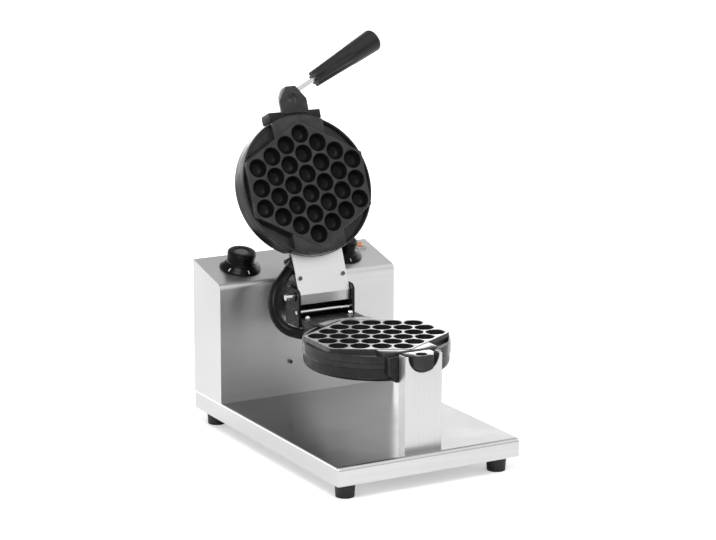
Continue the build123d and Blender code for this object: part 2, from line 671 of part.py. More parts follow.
def yoke():
    """Make the black bracket: two cheeks, a floor under the tongue and a back plate."""
    low = YOKE_FLOOR_TOP - YOKE_FLOOR - PLATE_GAP / 2
    floor_top = YOKE_FLOOR_TOP - PLATE_GAP / 2
    top = HINGE_Z + CHEEK_ABOVE_HINGE
    outline = [(CHEEK_FRONT_Y, low), (CHEEK_BACK_Y, low), (CHEEK_BACK_Y, top), (CHEEK_FRONT_Y, top)]
    cheeks = bent_case(outline, outline[3], CHEEK_ROUND, 2 * CHEEK_HALF_WIDTH)
    inner = CHEEK_HALF_WIDTH - CHEEK_THICK
    cheeks -= block((-inner, inner), (0, TRAY_LENGTH), (floor_top, TRAY_LENGTH))
    front = CHEEK_FRONT_Y - YOKE_FLOOR_FORWARD
    floor = block((-inner, inner), (front, CHEEK_BACK_Y), (low, floor_top))
    back_top = HINGE_Z - YOKE_BACK_BELOW_HINGE
    back = block((-inner, inner), (CHEEK_BACK_Y - YOKE_BACK, CHEEK_BACK_Y), (low, back_top))
    body = cheeks + floor + back
    reach = CHEEK_HALF_WIDTH + PIVOT_HEAD
    body -= rod_x(PIVOT_RADIUS + RUNNING_GAP, -reach, reach, HINGE_Y, HINGE_Z)
    body -= rod_x(ROD_RADIUS + RUNNING_GAP, -reach, reach, HINGE_Y - ROD_FORWARD, HINGE_Z - ROD_BELOW)
    screw_y = HINGE_Y - TONGUE_SCREW_FORWARD
    for x in (-TONGUE_SCREW_X, TONGUE_SCREW_X):
        body -= Pos(x, screw_y) * rod_z(TONGUE_SCREW_RADIUS / 2 + SCREW_GAP, 0, FLIP_Z)
    return body


def tongue_screws():
    """Make the two domed screws through the tongue and the yoke's floor."""
    y = HINGE_Y - TONGUE_SCREW_FORWARD
    top = TONGUE_TOP - PLATE_GAP / 2
    dome = Sphere(TONGUE_SCREW_RADIUS) & rod_z(TONGUE_SCREW_RADIUS, 0, TONGUE_SCREW_RADIUS)
    shank = rod_z(TONGUE_SCREW_RADIUS / 2, -TONGUE_THICK - YOKE_FLOOR, 0)
    return Compound([Pos(x, y, top) * (dome + shank) for x in (-TONGUE_SCREW_X, TONGUE_SCREW_X)])


def stop_rod():
    """Make the bright rod between the cheeks that stops the open lid."""
    return rod_x(ROD_RADIUS, -CHEEK_HALF_WIDTH, CHEEK_HALF_WIDTH,
                 HINGE_Y - ROD_FORWARD, HINGE_Z - ROD_BELOW)


def pivot_bolt():
    """Make the hinge bolt: a head at the right and a long end at the left."""
    left = -CHEEK_HALF_WIDTH - PIVOT_PROUD
    bolt = rod_x(PIVOT_RADIUS, left, CHEEK_HALF_WIDTH, HINGE_Y, HINGE_Z)
    right = CHEEK_HALF_WIDTH + PIVOT_HEAD
    return bolt + rod_x(PIVOT_HEAD_RADIUS, CHEEK_HALF_WIDTH, right, HINGE_Y, HINGE_Z)


def pivot_washer():
    """Make the dark washer and nut against the left cheek."""
    left = -CHEEK_HALF_WIDTH - WASHER_THICK
    ring = rod_x(WASHER_RADIUS, left, -CHEEK_HALF_WIDTH, HINGE_Y, HINGE_Z)
    return ring - rod_x(PIVOT_RADIUS + RUNNING_GAP, left, -CHEEK_HALF_WIDTH, HINGE_Y, HINGE_Z)


def flip_shaft():
    """Make the flip shaft with its hub at the yoke and a clip groove near its end."""
    shaft = rod_y(SHAFT_HUB_RADIUS, CHEEK_BACK_Y, HUB_END, z=FLIP_Z)
    shaft += rod_y(SHAFT_RADIUS, CHEEK_BACK_Y, SHAFT_END, z=FLIP_Z)
    start = HOUSING_FRONT + BEARING_TUBE_LENGTH + BODY_GAP
    ring = rod_y(SHAFT_RADIUS + CLIP_GROOVE, start, start + CLIP_THICK, z=FLIP_Z)
    ring -= rod_y(SHAFT_RADIUS - CLIP_GROOVE, start, start + CLIP_THICK, z=FLIP_Z)
    return shaft - ring


def shaft_clip():
    """Make the open clip that keeps the shaft in its bearing."""
    start = HOUSING_FRONT + BEARING_TUBE_LENGTH + BODY_GAP + RUNNING_GAP
    span = (start, start + CLIP_THICK - 2 * RUNNING_GAP)
    inside = SHAFT_RADIUS - CLIP_GROOVE + RUNNING_GAP
    ring = rod_y(CLIP_RADIUS, *span, z=FLIP_Z) - rod_y(inside, *span, z=FLIP_Z)
    return ring - block((-inside, inside), span, (FLIP_Z - CLIP_RADIUS, FLIP_Z))


def shaft_bearing():
    """Make the flanged bearing in the housing's front."""
    half = BEARING_FLANGE_HALF
    flange = block((-half, half), (BEARING_FRONT, HOUSING_FRONT), (FLIP_Z - half, FLIP_Z + half))
    tube = rod_y(BEARING_TUBE_RADIUS, HOUSING_FRONT, HOUSING_FRONT + BEARING_TUBE_LENGTH, z=FLIP_Z)
    bore = rod_y(SHAFT_RADIUS + RUNNING_GAP, BEARING_FRONT, SHAFT_END, z=FLIP_Z)
    return flange + tube - bore


# Upper arms, bright cover and handle, made closed and then swung open

def arm(side):
    """Make one arm from the upper plate's lug to the hinge, deep at the plate."""
    face = FLIP_Z + PLATE_GAP / 2 + COVER_PLATE_BEHIND_FACE
    lip = math.radians(COVER_LIP_ANGLE)
    run = COVER_LIP_LENGTH - THIN_SHEET
    start = PLATE_SETBACK + DISC_RADIUS - ARM_OVER_DISC
    outline = [
        (start, face),
        (HINGE_Y, face),
        (HINGE_Y + run * math.cos(lip), face + run * math.sin(lip)),
        (HINGE_Y + ARM_END_BEHIND_HINGE, face + ARM_END_DEPTH),
        (start, face + ARM_DEPTH),
    ]
    inner = ARM_HALF_WIDTH - ARM_THICK
    bar = side_prism(outline, inner, ARM_HALF_WIDTH)
    bar -= rod_x(PIVOT_RADIUS + RUNNING_GAP, inner, ARM_HALF_WIDTH, HINGE_Y, HINGE_Z)
    if side < 0:
        bar = mirror(bar, about=Plane.YZ)
    return opened(bar)


def hinge_cover():
    """Make the bright sheet over the arms: cut round the plate, with a lip bent at its end."""
    high = FLIP_Z + PLATE_GAP / 2 + COVER_PLATE_BEHIND_FACE
    half = COVER_PLATE_HALF_WIDTH
    lip = math.radians(COVER_LIP_ANGLE)
    end = (HINGE_Y + COVER_LIP_LENGTH * math.cos(lip), high + COVER_LIP_LENGTH * math.sin(lip))
    outline = [
        (PLATE_SETBACK, high),
        (HINGE_Y, high),
        end,
        (end[0] + THIN_SHEET * math.sin(lip), end[1] - THIN_SHEET * math.cos(lip)),
        (HINGE_Y + THIN_SHEET * math.tan(lip / 2), high - THIN_SHEET),
        (PLATE_SETBACK, high - THIN_SHEET),
    ]
    sheet = side_prism(outline, -half, half)
    return opened(sheet - Pos(0, PLATE_SETBACK) * rod_z(DISC_RADIUS + BODY_GAP, FLIP_Z, HINGE_Z))


def hinge_cover_screws():
    """Make the two screws that hold the bright cover to the arms."""
    high = FLIP_Z + PLATE_GAP / 2 + COVER_PLATE_BEHIND_FACE - THIN_SHEET
    y = HINGE_Y - COVER_SCREWS_AHEAD_OF_HINGE
    head = rod_z(SHEET_SCREW_RADIUS, high - SHEET_SCREW_HEAD, high)
    heads = [Pos(x, y) * head for x in (-COVER_SCREWS_X, COVER_SCREWS_X)]
    return opened(Compound(heads))


def arm_screws():
    """Make the screws that hold the arms to the upper plate's lug."""
    y = PLATE_SETBACK + DISC_RADIUS - ARM_OVER_DISC + ARM_SCREWS_FROM_END
    z = FLIP_Z + PLATE_GAP / 2 + COVER_PLATE_BEHIND_FACE + ARM_SCREWS_DEPTH
    head = rod_x(ARM_SCREW_RADIUS, ARM_HALF_WIDTH, ARM_HALF_WIDTH + ARM_SCREW_HEAD, y, z)
    return opened(Compound([head, mirror(head, about=Plane.YZ)]))


def handle_place():
    """Give the handle's root on the closed upper plate, with local Z along the handle."""
    along = (math.cos(HANDLE_SLANT), -math.sin(HANDLE_SLANT), 0)
    root_y = SHOULDER_Y - NOSE_LENGTH + HANDLE_BEHIND_TIP
    root = (HANDLE_ROOT_X, root_y, HANDLE_BEHIND_FACE)
    return Plane(origin=root, x_dir=(0, 0, 1), z_dir=along).location


def on_handle(shape):
    """Put a piece made along Z on the handle of the open lid."""
    return opened(AT_PLATE * (Pos(0, 0, PLATE_GAP / 2) * (handle_place() * shape)))


def handle_rod():
    """Make the bright rod that is screwed into the nose and into the grip."""
    return on_handle(rod_z(HANDLE_ROD_RADIUS, 0, HANDLE_ROD_SHOWN + GRIP_BORE_DEPTH - SEAT_GAP))


def handle_grip():
    """Turn the tapered grip with a domed end, and cut flutes along its thin half."""
    start = HANDLE_ROD_SHOWN
    end = start + GRIP_LENGTH
    shoulder_z = end - GRIP_DOME
    side = Polyline((0, start), (GRIP_SMALL_RADIUS, start), (GRIP_LARGE_RADIUS, shoulder_z))
    ball = (GRIP_LARGE_RADIUS ** 2 + GRIP_DOME ** 2) / (2 * GRIP_DOME)
    half = math.asin(GRIP_LARGE_RADIUS / ball) / 2
    crown = (ball * math.sin(half), end - ball * (1 - math.cos(half)))
    dome = ThreePointArc((GRIP_LARGE_RADIUS, shoulder_z), crown, (0, end))
    axis_line = Line((0, end), (0, start))
    grip = revolve(Plane.XZ * make_face(Curve() + [side, dome, axis_line]), Axis.Z)
    lean = math.degrees(math.atan2(GRIP_LARGE_RADIUS - GRIP_SMALL_RADIUS, GRIP_LENGTH - GRIP_DOME))
    centre = GRIP_SMALL_RADIUS + GRIP_FLUTE_RADIUS - GRIP_FLUTE_SINK
    flute = Pos(centre, 0, start - GRIP_FLUTE_RADIUS) * Rot(0, lean, 0)
    flute = flute * rod_z(GRIP_FLUTE_RADIUS, 0, GRIP_FLUTE_LENGTH)
    for i in range(GRIP_FLUTES):
        grip -= Rot(0, 0, i * 360 / GRIP_FLUTES) * flute
    grip -= rod_z(HANDLE_ROD_RADIUS + RUNNING_GAP, start, start + GRIP_BORE_DEPTH)
    return on_handle(grip)


# Knobs, units and switch, in the local frame of the sloped top

def control_unit():
    """Make the unit under the top: a body, and a bush through the sheet for the spindle."""
    half_x, half_y = UNIT_WIDTH / 2, UNIT_LENGTH / 2
    unit = block((-half_x, half_x), (-half_y, half_y), (-SHEET - UNIT_DEPTH, -SHEET))
    unit += rod_z(BUSH_RADIUS, -SHEET, BUSH_ABOVE)
    return unit - rod_z(SPINDLE_RADIUS + RUNNING_GAP, -SHEET - SPINDLE_BELOW, BUSH_ABOVE)


def spindle():
    """Make the spindle that turns in the unit's bush and carries the knob."""
    return rod_z(SPINDLE_RADIUS, SEAT_GAP - SHEET - SPINDLE_BELOW, SPINDLE_ABOVE)


def knob():
    """Turn the knob: a flared skirt, a round body and a recess for the centre cap."""
    crown = KNOB_HEIGHT - KNOB_CROWN
    side = [
        (KNOB_HOLLOW_RADIUS, KNOB_FLOAT),
        (KNOB_SKIRT_RADIUS, KNOB_FLOAT),
        (KNOB_SKIRT_RADIUS, KNOB_FLOAT + KNOB_SKIRT_EDGE),
        (KNOB_SKIRT_TOP_RADIUS, KNOB_SKIRT_HEIGHT),
        (KNOB_BODY_RADIUS, KNOB_SKIRT_HEIGHT),
        (KNOB_BODY_RADIUS, crown),
        (KNOB_BODY_RADIUS - KNOB_CROWN, KNOB_HEIGHT),
        (KNOB_CAP_RADIUS, KNOB_HEIGHT),
        (KNOB_CAP_RADIUS, KNOB_HEIGHT - KNOB_CAP_DEPTH),
        (0, KNOB_HEIGHT - KNOB_CAP_DEPTH),
        (0, KNOB_HOLLOW),
        (KNOB_HOLLOW_RADIUS, KNOB_HOLLOW),
    ]
    body = revolve(Plane.XZ * make_face(Polyline(*side, close=True)), Axis.Z)
    return body - rod_z(SPINDLE_RADIUS + RUNNING_GAP, 0, SPINDLE_ABOVE + SEAT_GAP)


def knob_cap():
    """Make the bright disc in the knob's recess."""
    floor = KNOB_HEIGHT - KNOB_CAP_DEPTH
    return rod_z(KNOB_CAP_RADIUS - RUNNING_GAP, floor, floor + KNOB_CAP_THICK)


def switch_bezel():
    """Make the switch body and its bezel, open at the top for the rocker."""
    half_x, half_y = SWITCH_WIDTH / 2, SWITCH_LENGTH / 2
    wall = SWITCH_BEZEL_WALL
    body = block((-half_x, half_x), (-half_y, half_y), (0, SWITCH_BEZEL_HEIGHT))
    inner_x, inner_y = half_x - wall, half_y - wall
    body += block((-inner_x, inner_x), (-inner_y, inner_y), (-SWITCH_DEPTH, 0))
    well_x, well_y = inner_x - THIN_SHEET, inner_y - THIN_SHEET
    depth = SWITCH_DEPTH / 2
    body -= block((-well_x, well_x), (-well_y, well_y), (-depth, SWITCH_BEZEL_HEIGHT))
    return body - rod_x(ROCKER_PIN_RADIUS + RUNNING_GAP, -inner_x, inner_x, 0, -ROCKER_PIVOT_DEPTH)


def rocker():
    """Make the lit rocker, tipped to its on side, with pins in the switch body."""
    half_x = SWITCH_WIDTH / 2 - SWITCH_BEZEL_WALL - THIN_SHEET - SWITCH_GAP
    half_y = SWITCH_LENGTH / 2 - SWITCH_BEZEL_WALL - THIN_SHEET - ROCKER_END_GAP
    rise = SWITCH_BEZEL_HEIGHT + ROCKER_RISE
    low = -ROCKER_PIVOT_DEPTH - 2 * ROCKER_PIN_RADIUS
    dip = SWITCH_BEZEL_HEIGHT
    outline = [
        (-half_y, dip),
        (-half_y / 2, low),
        (half_y / 2, low),
        (half_y, dip),
        (half_y - SWITCH_GAP, rise),
        (0, dip + SWITCH_GAP),
        (SWITCH_GAP - half_y, rise),
    ]
    body = side_prism(outline, -half_x, half_x)
    reach = SWITCH_WIDTH / 2 - SWITCH_BEZEL_WALL - SCREW_GAP
    body += rod_x(ROCKER_PIN_RADIUS, -reach, reach, 0, -ROCKER_PIVOT_DEPTH)
    tilt = Pos(0, 0, -ROCKER_PIVOT_DEPTH) * Rot(ROCKER_TILT, 0, 0) * Pos(0, 0, ROCKER_PIVOT_DEPTH)
    return tilt * body


# Wire conduit

def lower_gland_axis():
    """Give the outward direction of the lower gland in plan."""
    turn = math.radians(CONDUIT_GLAND_ANGLE)
    return math.cos(turn), math.sin(turn)


def lower_gland_end(reach):
    """Give the point on the lower gland's axis at a distance from the disc's edge."""
    x, y = lower_gland_axis()
    out = DISC_RADIUS + reach
    return x * out, PLATE_SETBACK + y * out, FLIP_Z - CONDUIT_DROP


def upper_gland_end(reach):
    """Give the point on the upper gland's axis at a distance from the left arm's face."""
    x, y, z = CONDUIT_ARM_COURSE
    start_y = HINGE_Y + CONDUIT_ARM_BEHIND
    start_z = HINGE_Z + CONDUIT_ARM_ABOVE
    return x * reach - ARM_HALF_WIDTH, start_y + y * reach, start_z + z * reach


def conduit_route():
    """Give the conduit's centre line from the lower gland round to the upper one."""
    reach = CONDUIT_GLAND + CONDUIT_LEAD
    low_end = (lower_gland_end(CONDUIT_GLAND), lower_gland_end(reach))
    high_end = (upper_gland_end(reach), upper_gland_end(CONDUIT_GLAND))
    middle = [(x, HINGE_Y + y, HINGE_Z + z) for x, y, z in CONDUIT_POINTS]
    points = [Vector(*p) for p in (*low_end, *middle, *high_end)]
    radii = []
    for before, here, after in zip(points, points[1:], points[2:]):
        turn = math.radians((here - before).get_angle(after - here))
        run = min((here - before).length, (after - here).length)
        radii.append(CONDUIT_BEND * run / math.tan(turn / 2))
    print("conduit bends:", [round(r, 1) for r in radii])
    return FilletPolyline(*points, radius=radii)


def wire_conduit():
    """Sweep the sleeved wires along their route."""
    route = conduit_route()
    section = Plane(origin=route @ 0, z_dir=route % 0) * Circle(CONDUIT_RADIUS)
    tube = sweep(section, path=route)
    expected = math.pi * CONDUIT_RADIUS ** 2 * route.length
    print("conduit length", round(route.length, 1), "volume ratio", round(tube.volume / expected, 4))
    return tube


def plate_gland():
    """Make the lower plate's gland for the conduit, square to the plate's edge."""
    x, y = lower_gland_axis()
    start = Vector(*lower_gland_end(-COVER_TRIM))
    sleeve = extrude(Circle(CONDUIT_GLAND_RADIUS), CONDUIT_GLAND + COVER_TRIM)
    gland = Plane(origin=start, z_dir=(x, y, 0)).location * sleeve
    return gland - Pos(0, PLATE_SETBACK) * rod_z(DISC_RADIUS, 0, FLIP_Z)


def arm_gland():
    """Make the arm's gland for the conduit, leaning from the arm's side towards its route."""
    start = Vector(*upper_gland_end(-CONDUIT_GLAND))
    sleeve = extrude(Circle(CONDUIT_GLAND_RADIUS), 2 * CONDUIT_GLAND)
    gland = Plane(origin=start, z_dir=CONDUIT_ARM_COURSE).location * sleeve
    return gland & block((-DISC_RADIUS, -ARM_HALF_WIDTH), (HINGE_Y, TRAY_LENGTH), (FLIP_Z, 2 * FLIP_Z))


def build_parts():
    """Build every piece in the working frame, by name."""
    left, right = (on_top(x, KNOB_DOWN_SLOPE) for x in KNOB_X)
    switch = on_top(SWITCH_X, SWITCH_DOWN_SLOPE)
    front_back_trim = DISC_RADIUS - UPPER_LUG_BITE - COVER_TRIM
    return {
        "tray": tray(),
        "base_plate": base_plate(),
        "rubber_feet": rubber_feet(),
        "foot_screws": foot_screws(),
        "housing_shell": housing_shell(),
        "housing_back": housing_back(),
        "back_screws": back_screws(),
        "front_stud": front_stud(),
        "cable_gland": cable_gland(),
        "terminal_block": terminal_block(),
        "front_stand": stand(),
        "notch_liner": notch_liner(),
        "shaft_bearing": shaft_bearing(),
        "timer_unit": left * control_unit(),
        "thermostat_unit": right * control_unit(),
        "switch_bezel": switch * switch_bezel(),
        "lower_casting": lower_casting(),
        "lower_heater": below(heater()),
        "lower_cover": below(heater_cover(front_back_trim)),
        "lower_cover_screws": below(cover_screws()),
        "yoke": yoke(),
        "tongue_screws": tongue_screws(),
        "stop_rod": stop_rod(),
        "pivot_bolt": pivot_bolt(),
        "pivot_washer": pivot_washer(),
        "flip_shaft": flip_shaft(),
        "shaft_clip": shaft_clip(),
        "plate_gland": plate_gland(),
        "wire_conduit": wire_conduit(),
        "upper_casting": upper_casting(),
        "upper_heater": above(heater()),
        "upper_cover": above(heater_cover(front_back_trim)),
        "upper_cover_screws": above(cover_screws()),
        "hinge_arm_left": arm(-1),
        "hinge_arm_right": arm(1),
        "arm_screws": arm_screws(),
        "arm_gland": arm_gland(),
        "hinge_cover": hinge_cover(),
        "hinge_cover_screws": hinge_cover_screws(),
        "handle_rod": handle_rod(),
        "handle_grip": handle_grip(),
        "timer_spindle": left * spindle(),
        "timer_knob": left * knob(),
        "timer_cap": left * knob_cap(),
        "thermostat_spindle": right * spindle(),
        "thermostat_knob": right * knob(),
        "thermostat_cap": right * knob_cap(),
        "switch_rocker": switch * rocker(),
    }


def origin_shift(parts):
    """Give the move that puts the origin at the bottom centre of the whole object."""
    boxes = [part.bounding_box() for part in parts.values()]
    x = (min(b.min.X for b in boxes) + max(b.max.X for b in boxes)) / 2
    y = (min(b.min.Y for b in boxes) + max(b.max.Y for b in boxes)) / 2
    z = min(b.min.Z for b in boxes)
    return -x, -y, -z


def main():
    """Build the parts, move them to the shared origin and write one file for each."""
    os.makedirs("parts", exist_ok=True)
    parts = build_parts()
    shift = origin_shift(parts)
    print("origin shift", [round(v, 3) for v in shift])
    for name, part in parts.items():
        export_step(Pos(*shift) * part, os.path.join("parts", name + ".step"))
    return parts, shift


main()
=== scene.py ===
"""Looks of the round bubble waffle maker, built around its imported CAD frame."""

import json
import logging
import math
from dataclasses import dataclass
from enum import Enum
from typing import Callable

import bmesh
import bpy
import numpy as np
from mathutils import Matrix, Vector


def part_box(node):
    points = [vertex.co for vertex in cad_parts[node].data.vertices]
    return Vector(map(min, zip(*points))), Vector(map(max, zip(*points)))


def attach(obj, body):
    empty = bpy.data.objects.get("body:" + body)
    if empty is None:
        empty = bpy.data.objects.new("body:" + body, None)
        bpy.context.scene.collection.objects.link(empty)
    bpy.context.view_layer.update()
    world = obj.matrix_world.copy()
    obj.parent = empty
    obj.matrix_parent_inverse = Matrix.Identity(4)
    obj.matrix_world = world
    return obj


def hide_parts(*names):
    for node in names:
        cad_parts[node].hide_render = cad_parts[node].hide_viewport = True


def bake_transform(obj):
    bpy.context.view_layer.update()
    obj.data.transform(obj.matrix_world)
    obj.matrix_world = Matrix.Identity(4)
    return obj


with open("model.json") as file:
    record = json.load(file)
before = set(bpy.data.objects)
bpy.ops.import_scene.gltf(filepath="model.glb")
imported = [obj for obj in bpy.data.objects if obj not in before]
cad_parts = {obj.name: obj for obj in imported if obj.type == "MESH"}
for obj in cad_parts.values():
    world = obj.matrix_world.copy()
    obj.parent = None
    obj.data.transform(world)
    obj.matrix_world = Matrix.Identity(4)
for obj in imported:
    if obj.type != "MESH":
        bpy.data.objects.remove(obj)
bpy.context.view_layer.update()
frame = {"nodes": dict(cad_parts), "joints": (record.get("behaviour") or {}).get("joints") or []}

LOG = logging.getLogger("waffle_maker")
MM = 0.001
TINY = 1e-6

Colour = tuple[float, float, float]
Span = tuple[float, float]
Socket = bpy.types.NodeSocket
Place = Callable[[np.ndarray], np.ndarray]


class Body(str, Enum):
    """The bodies of the frame that pieces ride on."""

    BASE = "base"
    LOWER = "lower_iron"
    UPPER = "upper_iron"
    TIMER = "timer_dial"
    THERMOSTAT = "thermostat_dial"


class Grain(Enum):
    """The direction of a sheet's brush lines, as repeats per metre of a pattern on X, Y and Z."""

    ALONG_X = (5.0, 420.0, 420.0)
    ALONG_Z = (420.0, 420.0, 5.0)


class Tree:
    """Adds and links the nodes of one node tree."""

    def __init__(self, tree: bpy.types.NodeTree) -> None:
        """Take a tree and add its texture coordinates.

        Args:
            tree: The node tree of a material or a world.
        """
        self.nodes = tree.nodes
        self.links = tree.links
        self.coordinates = self.add("TexCoord")

    def add(self, kind: str, **options: str) -> bpy.types.Node:
        """Add a node.

        Args:
            kind: The node's type, without the words that all types start with.
            options: The node's options by name.

        Returns:
            The new node.
        """
        node = self.nodes.new(f"ShaderNode{kind}")
        for option, value in options.items():
            setattr(node, option, value)
        return node

    def feed(self, socket: Socket, value: Socket | float | tuple) -> None:
        """Link a socket to another one, or set its own value.

        Args:
            socket: The socket that takes the value.
            value: The other socket, or the value.
        """
        if isinstance(value, bpy.types.NodeSocket):
            self.links.new(value, socket)
        else:
            socket.default_value = value

    def ramp(self, source: Socket, across: Span, to: Span = (0.0, 1.0), smooth: bool = True) -> Socket:
        """Map one range of values onto another, held at both ends.

        Args:
            source: The value that is mapped.
            across: The range that it crosses.
            to: The range that it is mapped onto.
            smooth: Whether the rise eases in and out.

        Returns:
            The mapped value's socket.
        """
        node = self.add("MapRange", interpolation_type="SMOOTHSTEP" if smooth else "LINEAR")
        for name, value in zip(("From Min", "From Max", "To Min", "To Max"), across + to):
            node.inputs[name].default_value = value
        self.links.new(source, node.inputs["Value"])
        return node.outputs["Result"]

    def combine(self, operation: str, *values: Socket | float) -> Socket:
        """Join values by one operation.

        Args:
            operation: The operation's name.
            values: One or two sockets or numbers.

        Returns:
            The result's socket.
        """
        node = self.add("Math", operation=operation)
        for socket, value in zip(node.inputs, values):
            self.feed(socket, value)
        return node.outputs["Value"]

    def mix(self, factor: Socket, first: Socket | tuple, second: tuple, blend: str = "MIX") -> Socket:
        """Mix two colours.

        Args:
            factor: How much of the second colour is taken.
            first: The first colour, or its socket.
            second: The second colour.
            blend: The way that the second is laid on the first.

        Returns:
            The mixed colour's socket.
        """
        node = self.add("Mix", data_type="RGBA", blend_type=blend)
        self.links.new(factor, node.inputs["Factor"])
        self.feed(node.inputs["A"], first)
        self.feed(node.inputs["B"], second)
        return node.outputs["Result"]


class Shader(Tree):
    """The nodes of one material."""

    noise_middle: Span = (0.3, 0.7)

    def __init__(self, name: str) -> None:
        """Start an empty material.

        Args:
            name: The material's name.
        """
        self.material = bpy.data.materials.new(name)
        self.material.use_nodes = True
        super().__init__(self.material.node_tree)
        self.surface = self.nodes["Principled BSDF"]

    def set(self, **values: Socket | float | tuple) -> None:
        """Set or link the surface's own sockets by name, with underscores for spaces."""
        for key, value in values.items():
            self.feed(self.surface.inputs[key.replace("_", " ")], value)

    def noise(self, stretch: tuple[float, float, float], detail: float) -> Socket:
        """Add noise on object coordinates.

        Args:
            stretch: How many times the pattern repeats per metre on each axis.
            detail: The noise's detail.

        Returns:
            The socket of the noise's factor.
        """
        mapping = self.add("Mapping")
        mapping.inputs["Scale"].default_value = stretch
        texture = self.add("TexNoise")
        texture.inputs["Scale"].default_value = 1.0
        texture.inputs["Detail"].default_value = detail
        self.links.new(self.coordinates.outputs["Object"], mapping.inputs["Vector"])
        self.links.new(mapping.outputs["Vector"], texture.inputs["Vector"])
        return texture.outputs["Fac"]

    def span(self, source: Socket, low: float, high: float) -> Socket:
        """Map a noise's middle range onto a range of values.

        Args:
            source: The noise's factor.
            low: The value for dark noise.
            high: The value for bright noise.

        Returns:
            The mapped value's socket.
        """
        return self.ramp(source, self.noise_middle, (low, high))

    def shares(self, source: Socket, value: float, shares: Span) -> Socket:
        """Map a noise's middle range onto two shares of a value."""
        return self.span(source, value * shares[0], value * shares[1])

    def tint(self, factor: Socket, dark: Colour, bright: Colour) -> None:
        """Mix two colours by a factor into the base colour."""
        self.set(Base_Color=self.mix(factor, (*dark, 1.0), (*bright, 1.0)))

    def repaint(self, factor: Socket, colour: Colour, blend: str = "MIX") -> None:
        """Lay another colour on the base colour.

        Args:
            factor: How strongly the colour is laid on.
            colour: The colour.
            blend: The way that it is laid on.
        """
        base = self.surface.inputs["Base Color"].links[0].from_socket
        self.set(Base_Color=self.mix(factor, base, (*colour, 1.0), blend))

    def bump(self, height: Socket, depth: float, strength: float) -> None:
        """Add a bump to the surface's normal.

        Args:
            height: The height's socket.
            depth: How deep the bump is, in metres.
            strength: How much of the bump is used.
        """
        node = self.add("Bump")
        node.inputs["Distance"].default_value = depth
        node.inputs["Strength"].default_value = strength
        self.links.new(height, node.inputs["Height"])
        self.set(Normal=node.outputs["Normal"])

    def normal_part(self, axis: str) -> Socket:
        """Give the part of the surface's normal along one axis.

        Args:
            axis: The axis, X, Y or Z.

        Returns:
            The part's socket.
        """
        split = self.add("SeparateXYZ")
        self.links.new(self.add("NewGeometry").outputs["Normal"], split.inputs["Vector"])
        return split.outputs[axis]


def grey(level: float, shift: float = 0.0) -> Colour:
    """Give a neutral colour with a small shift towards blue."""
    return (level - shift, level, level + shift)


def scaled(colour: Colour, share: float) -> Colour:
    """Give a colour times a share."""
    red, green, blue = colour
    return (red * share, green * share, blue * share)


@dataclass(frozen=True)
class BrushedSteel:
    """Stainless sheet with fine brush lines.

    Spread is how much the lines vary the level, painted top shade how bright the faces that look up
    are kept under painted shade, and smear how far reflections are drawn out across lines along X.
    """

    name: str
    level: float
    roughness: float
    grain: Grain
    spread: float
    painted_top_shade: float = 1.0
    smear: float = 0.0
    cloud_scale: float = 9.0
    gloss_shares: Span = (0.85, 1.15)
    looks_up: Span = (0.75, 0.98)
    looks_aside: Span = (0.5, 0.9)

    def smear_across(self, shader: Shader) -> None:
        """Draw reflections out across the brush lines along X, to match the photo's tones.

        The smear fades out on faces that look along X, where a tangent round X runs in rings.

        Args:
            shader: The material's nodes.
        """
        tangent = shader.add("Tangent", direction_type="RADIAL", axis="X")
        sideways = shader.combine("ABSOLUTE", shader.normal_part("X"))
        fade = shader.ramp(sideways, self.looks_aside, (self.smear, 0.0), smooth=False)
        shader.set(Tangent=tangent.outputs["Tangent"], Anisotropic=fade)

    def build(self) -> bpy.types.Material:
        """Make the material: brush lines vary its colour, and wider clouds its gloss.

        The faces that look up are darkened by the painted top shade: painted shade in the colour.
        The faces that look up are darkened by the top share, which matches the photo's tones.

        Returns:
            The new material.
        """
        shader = Shader(self.name)
        lines = shader.noise(self.grain.value, 2.0)
        clouds = shader.noise((self.cloud_scale,) * 3, 3.0)
        dark, bright = grey(self.level * (1 - self.spread)), grey(self.level * (1 + self.spread))
        shader.tint(shader.span(lines, 0.0, 1.0), dark, bright)
        # Painted shade: faces that look up are darkened to a share of their colour.
        if self.painted_top_shade < 1:
            rise = shader.ramp(shader.normal_part("Z"), self.looks_up, smooth=False)
            shader.repaint(rise, grey(self.painted_top_shade), "MULTIPLY")
        if self.smear > 0:
            self.smear_across(shader)
        gloss = shader.shares(clouds, self.roughness, self.gloss_shares)
        shader.set(Metallic=1.0, Roughness=gloss)
        return shader.material


@dataclass(frozen=True)
class PolishedSteel:
    """Bright turned or plated steel with faint turning marks."""

    name: str
    level: float
    roughness: float
    smear_scale: tuple[float, float, float] = (140.0, 140.0, 500.0)
    level_shares: Span = (0.93, 1.04)
    gloss_shares: Span = (0.7, 1.3)

    def build(self) -> bpy.types.Material:
        """Make the material, with faint smears in its colour and gloss.

        Returns:
            The new material.
        """
        shader = Shader(self.name)
        smears = shader.noise(self.smear_scale, 3.0)
        dark, bright = (grey(self.level * share) for share in self.level_shares)
        shader.tint(smears, dark, bright)
        gloss = shader.shares(smears, self.roughness, self.gloss_shares)
        shader.set(Metallic=1.0, Roughness=gloss)
        return shader.material


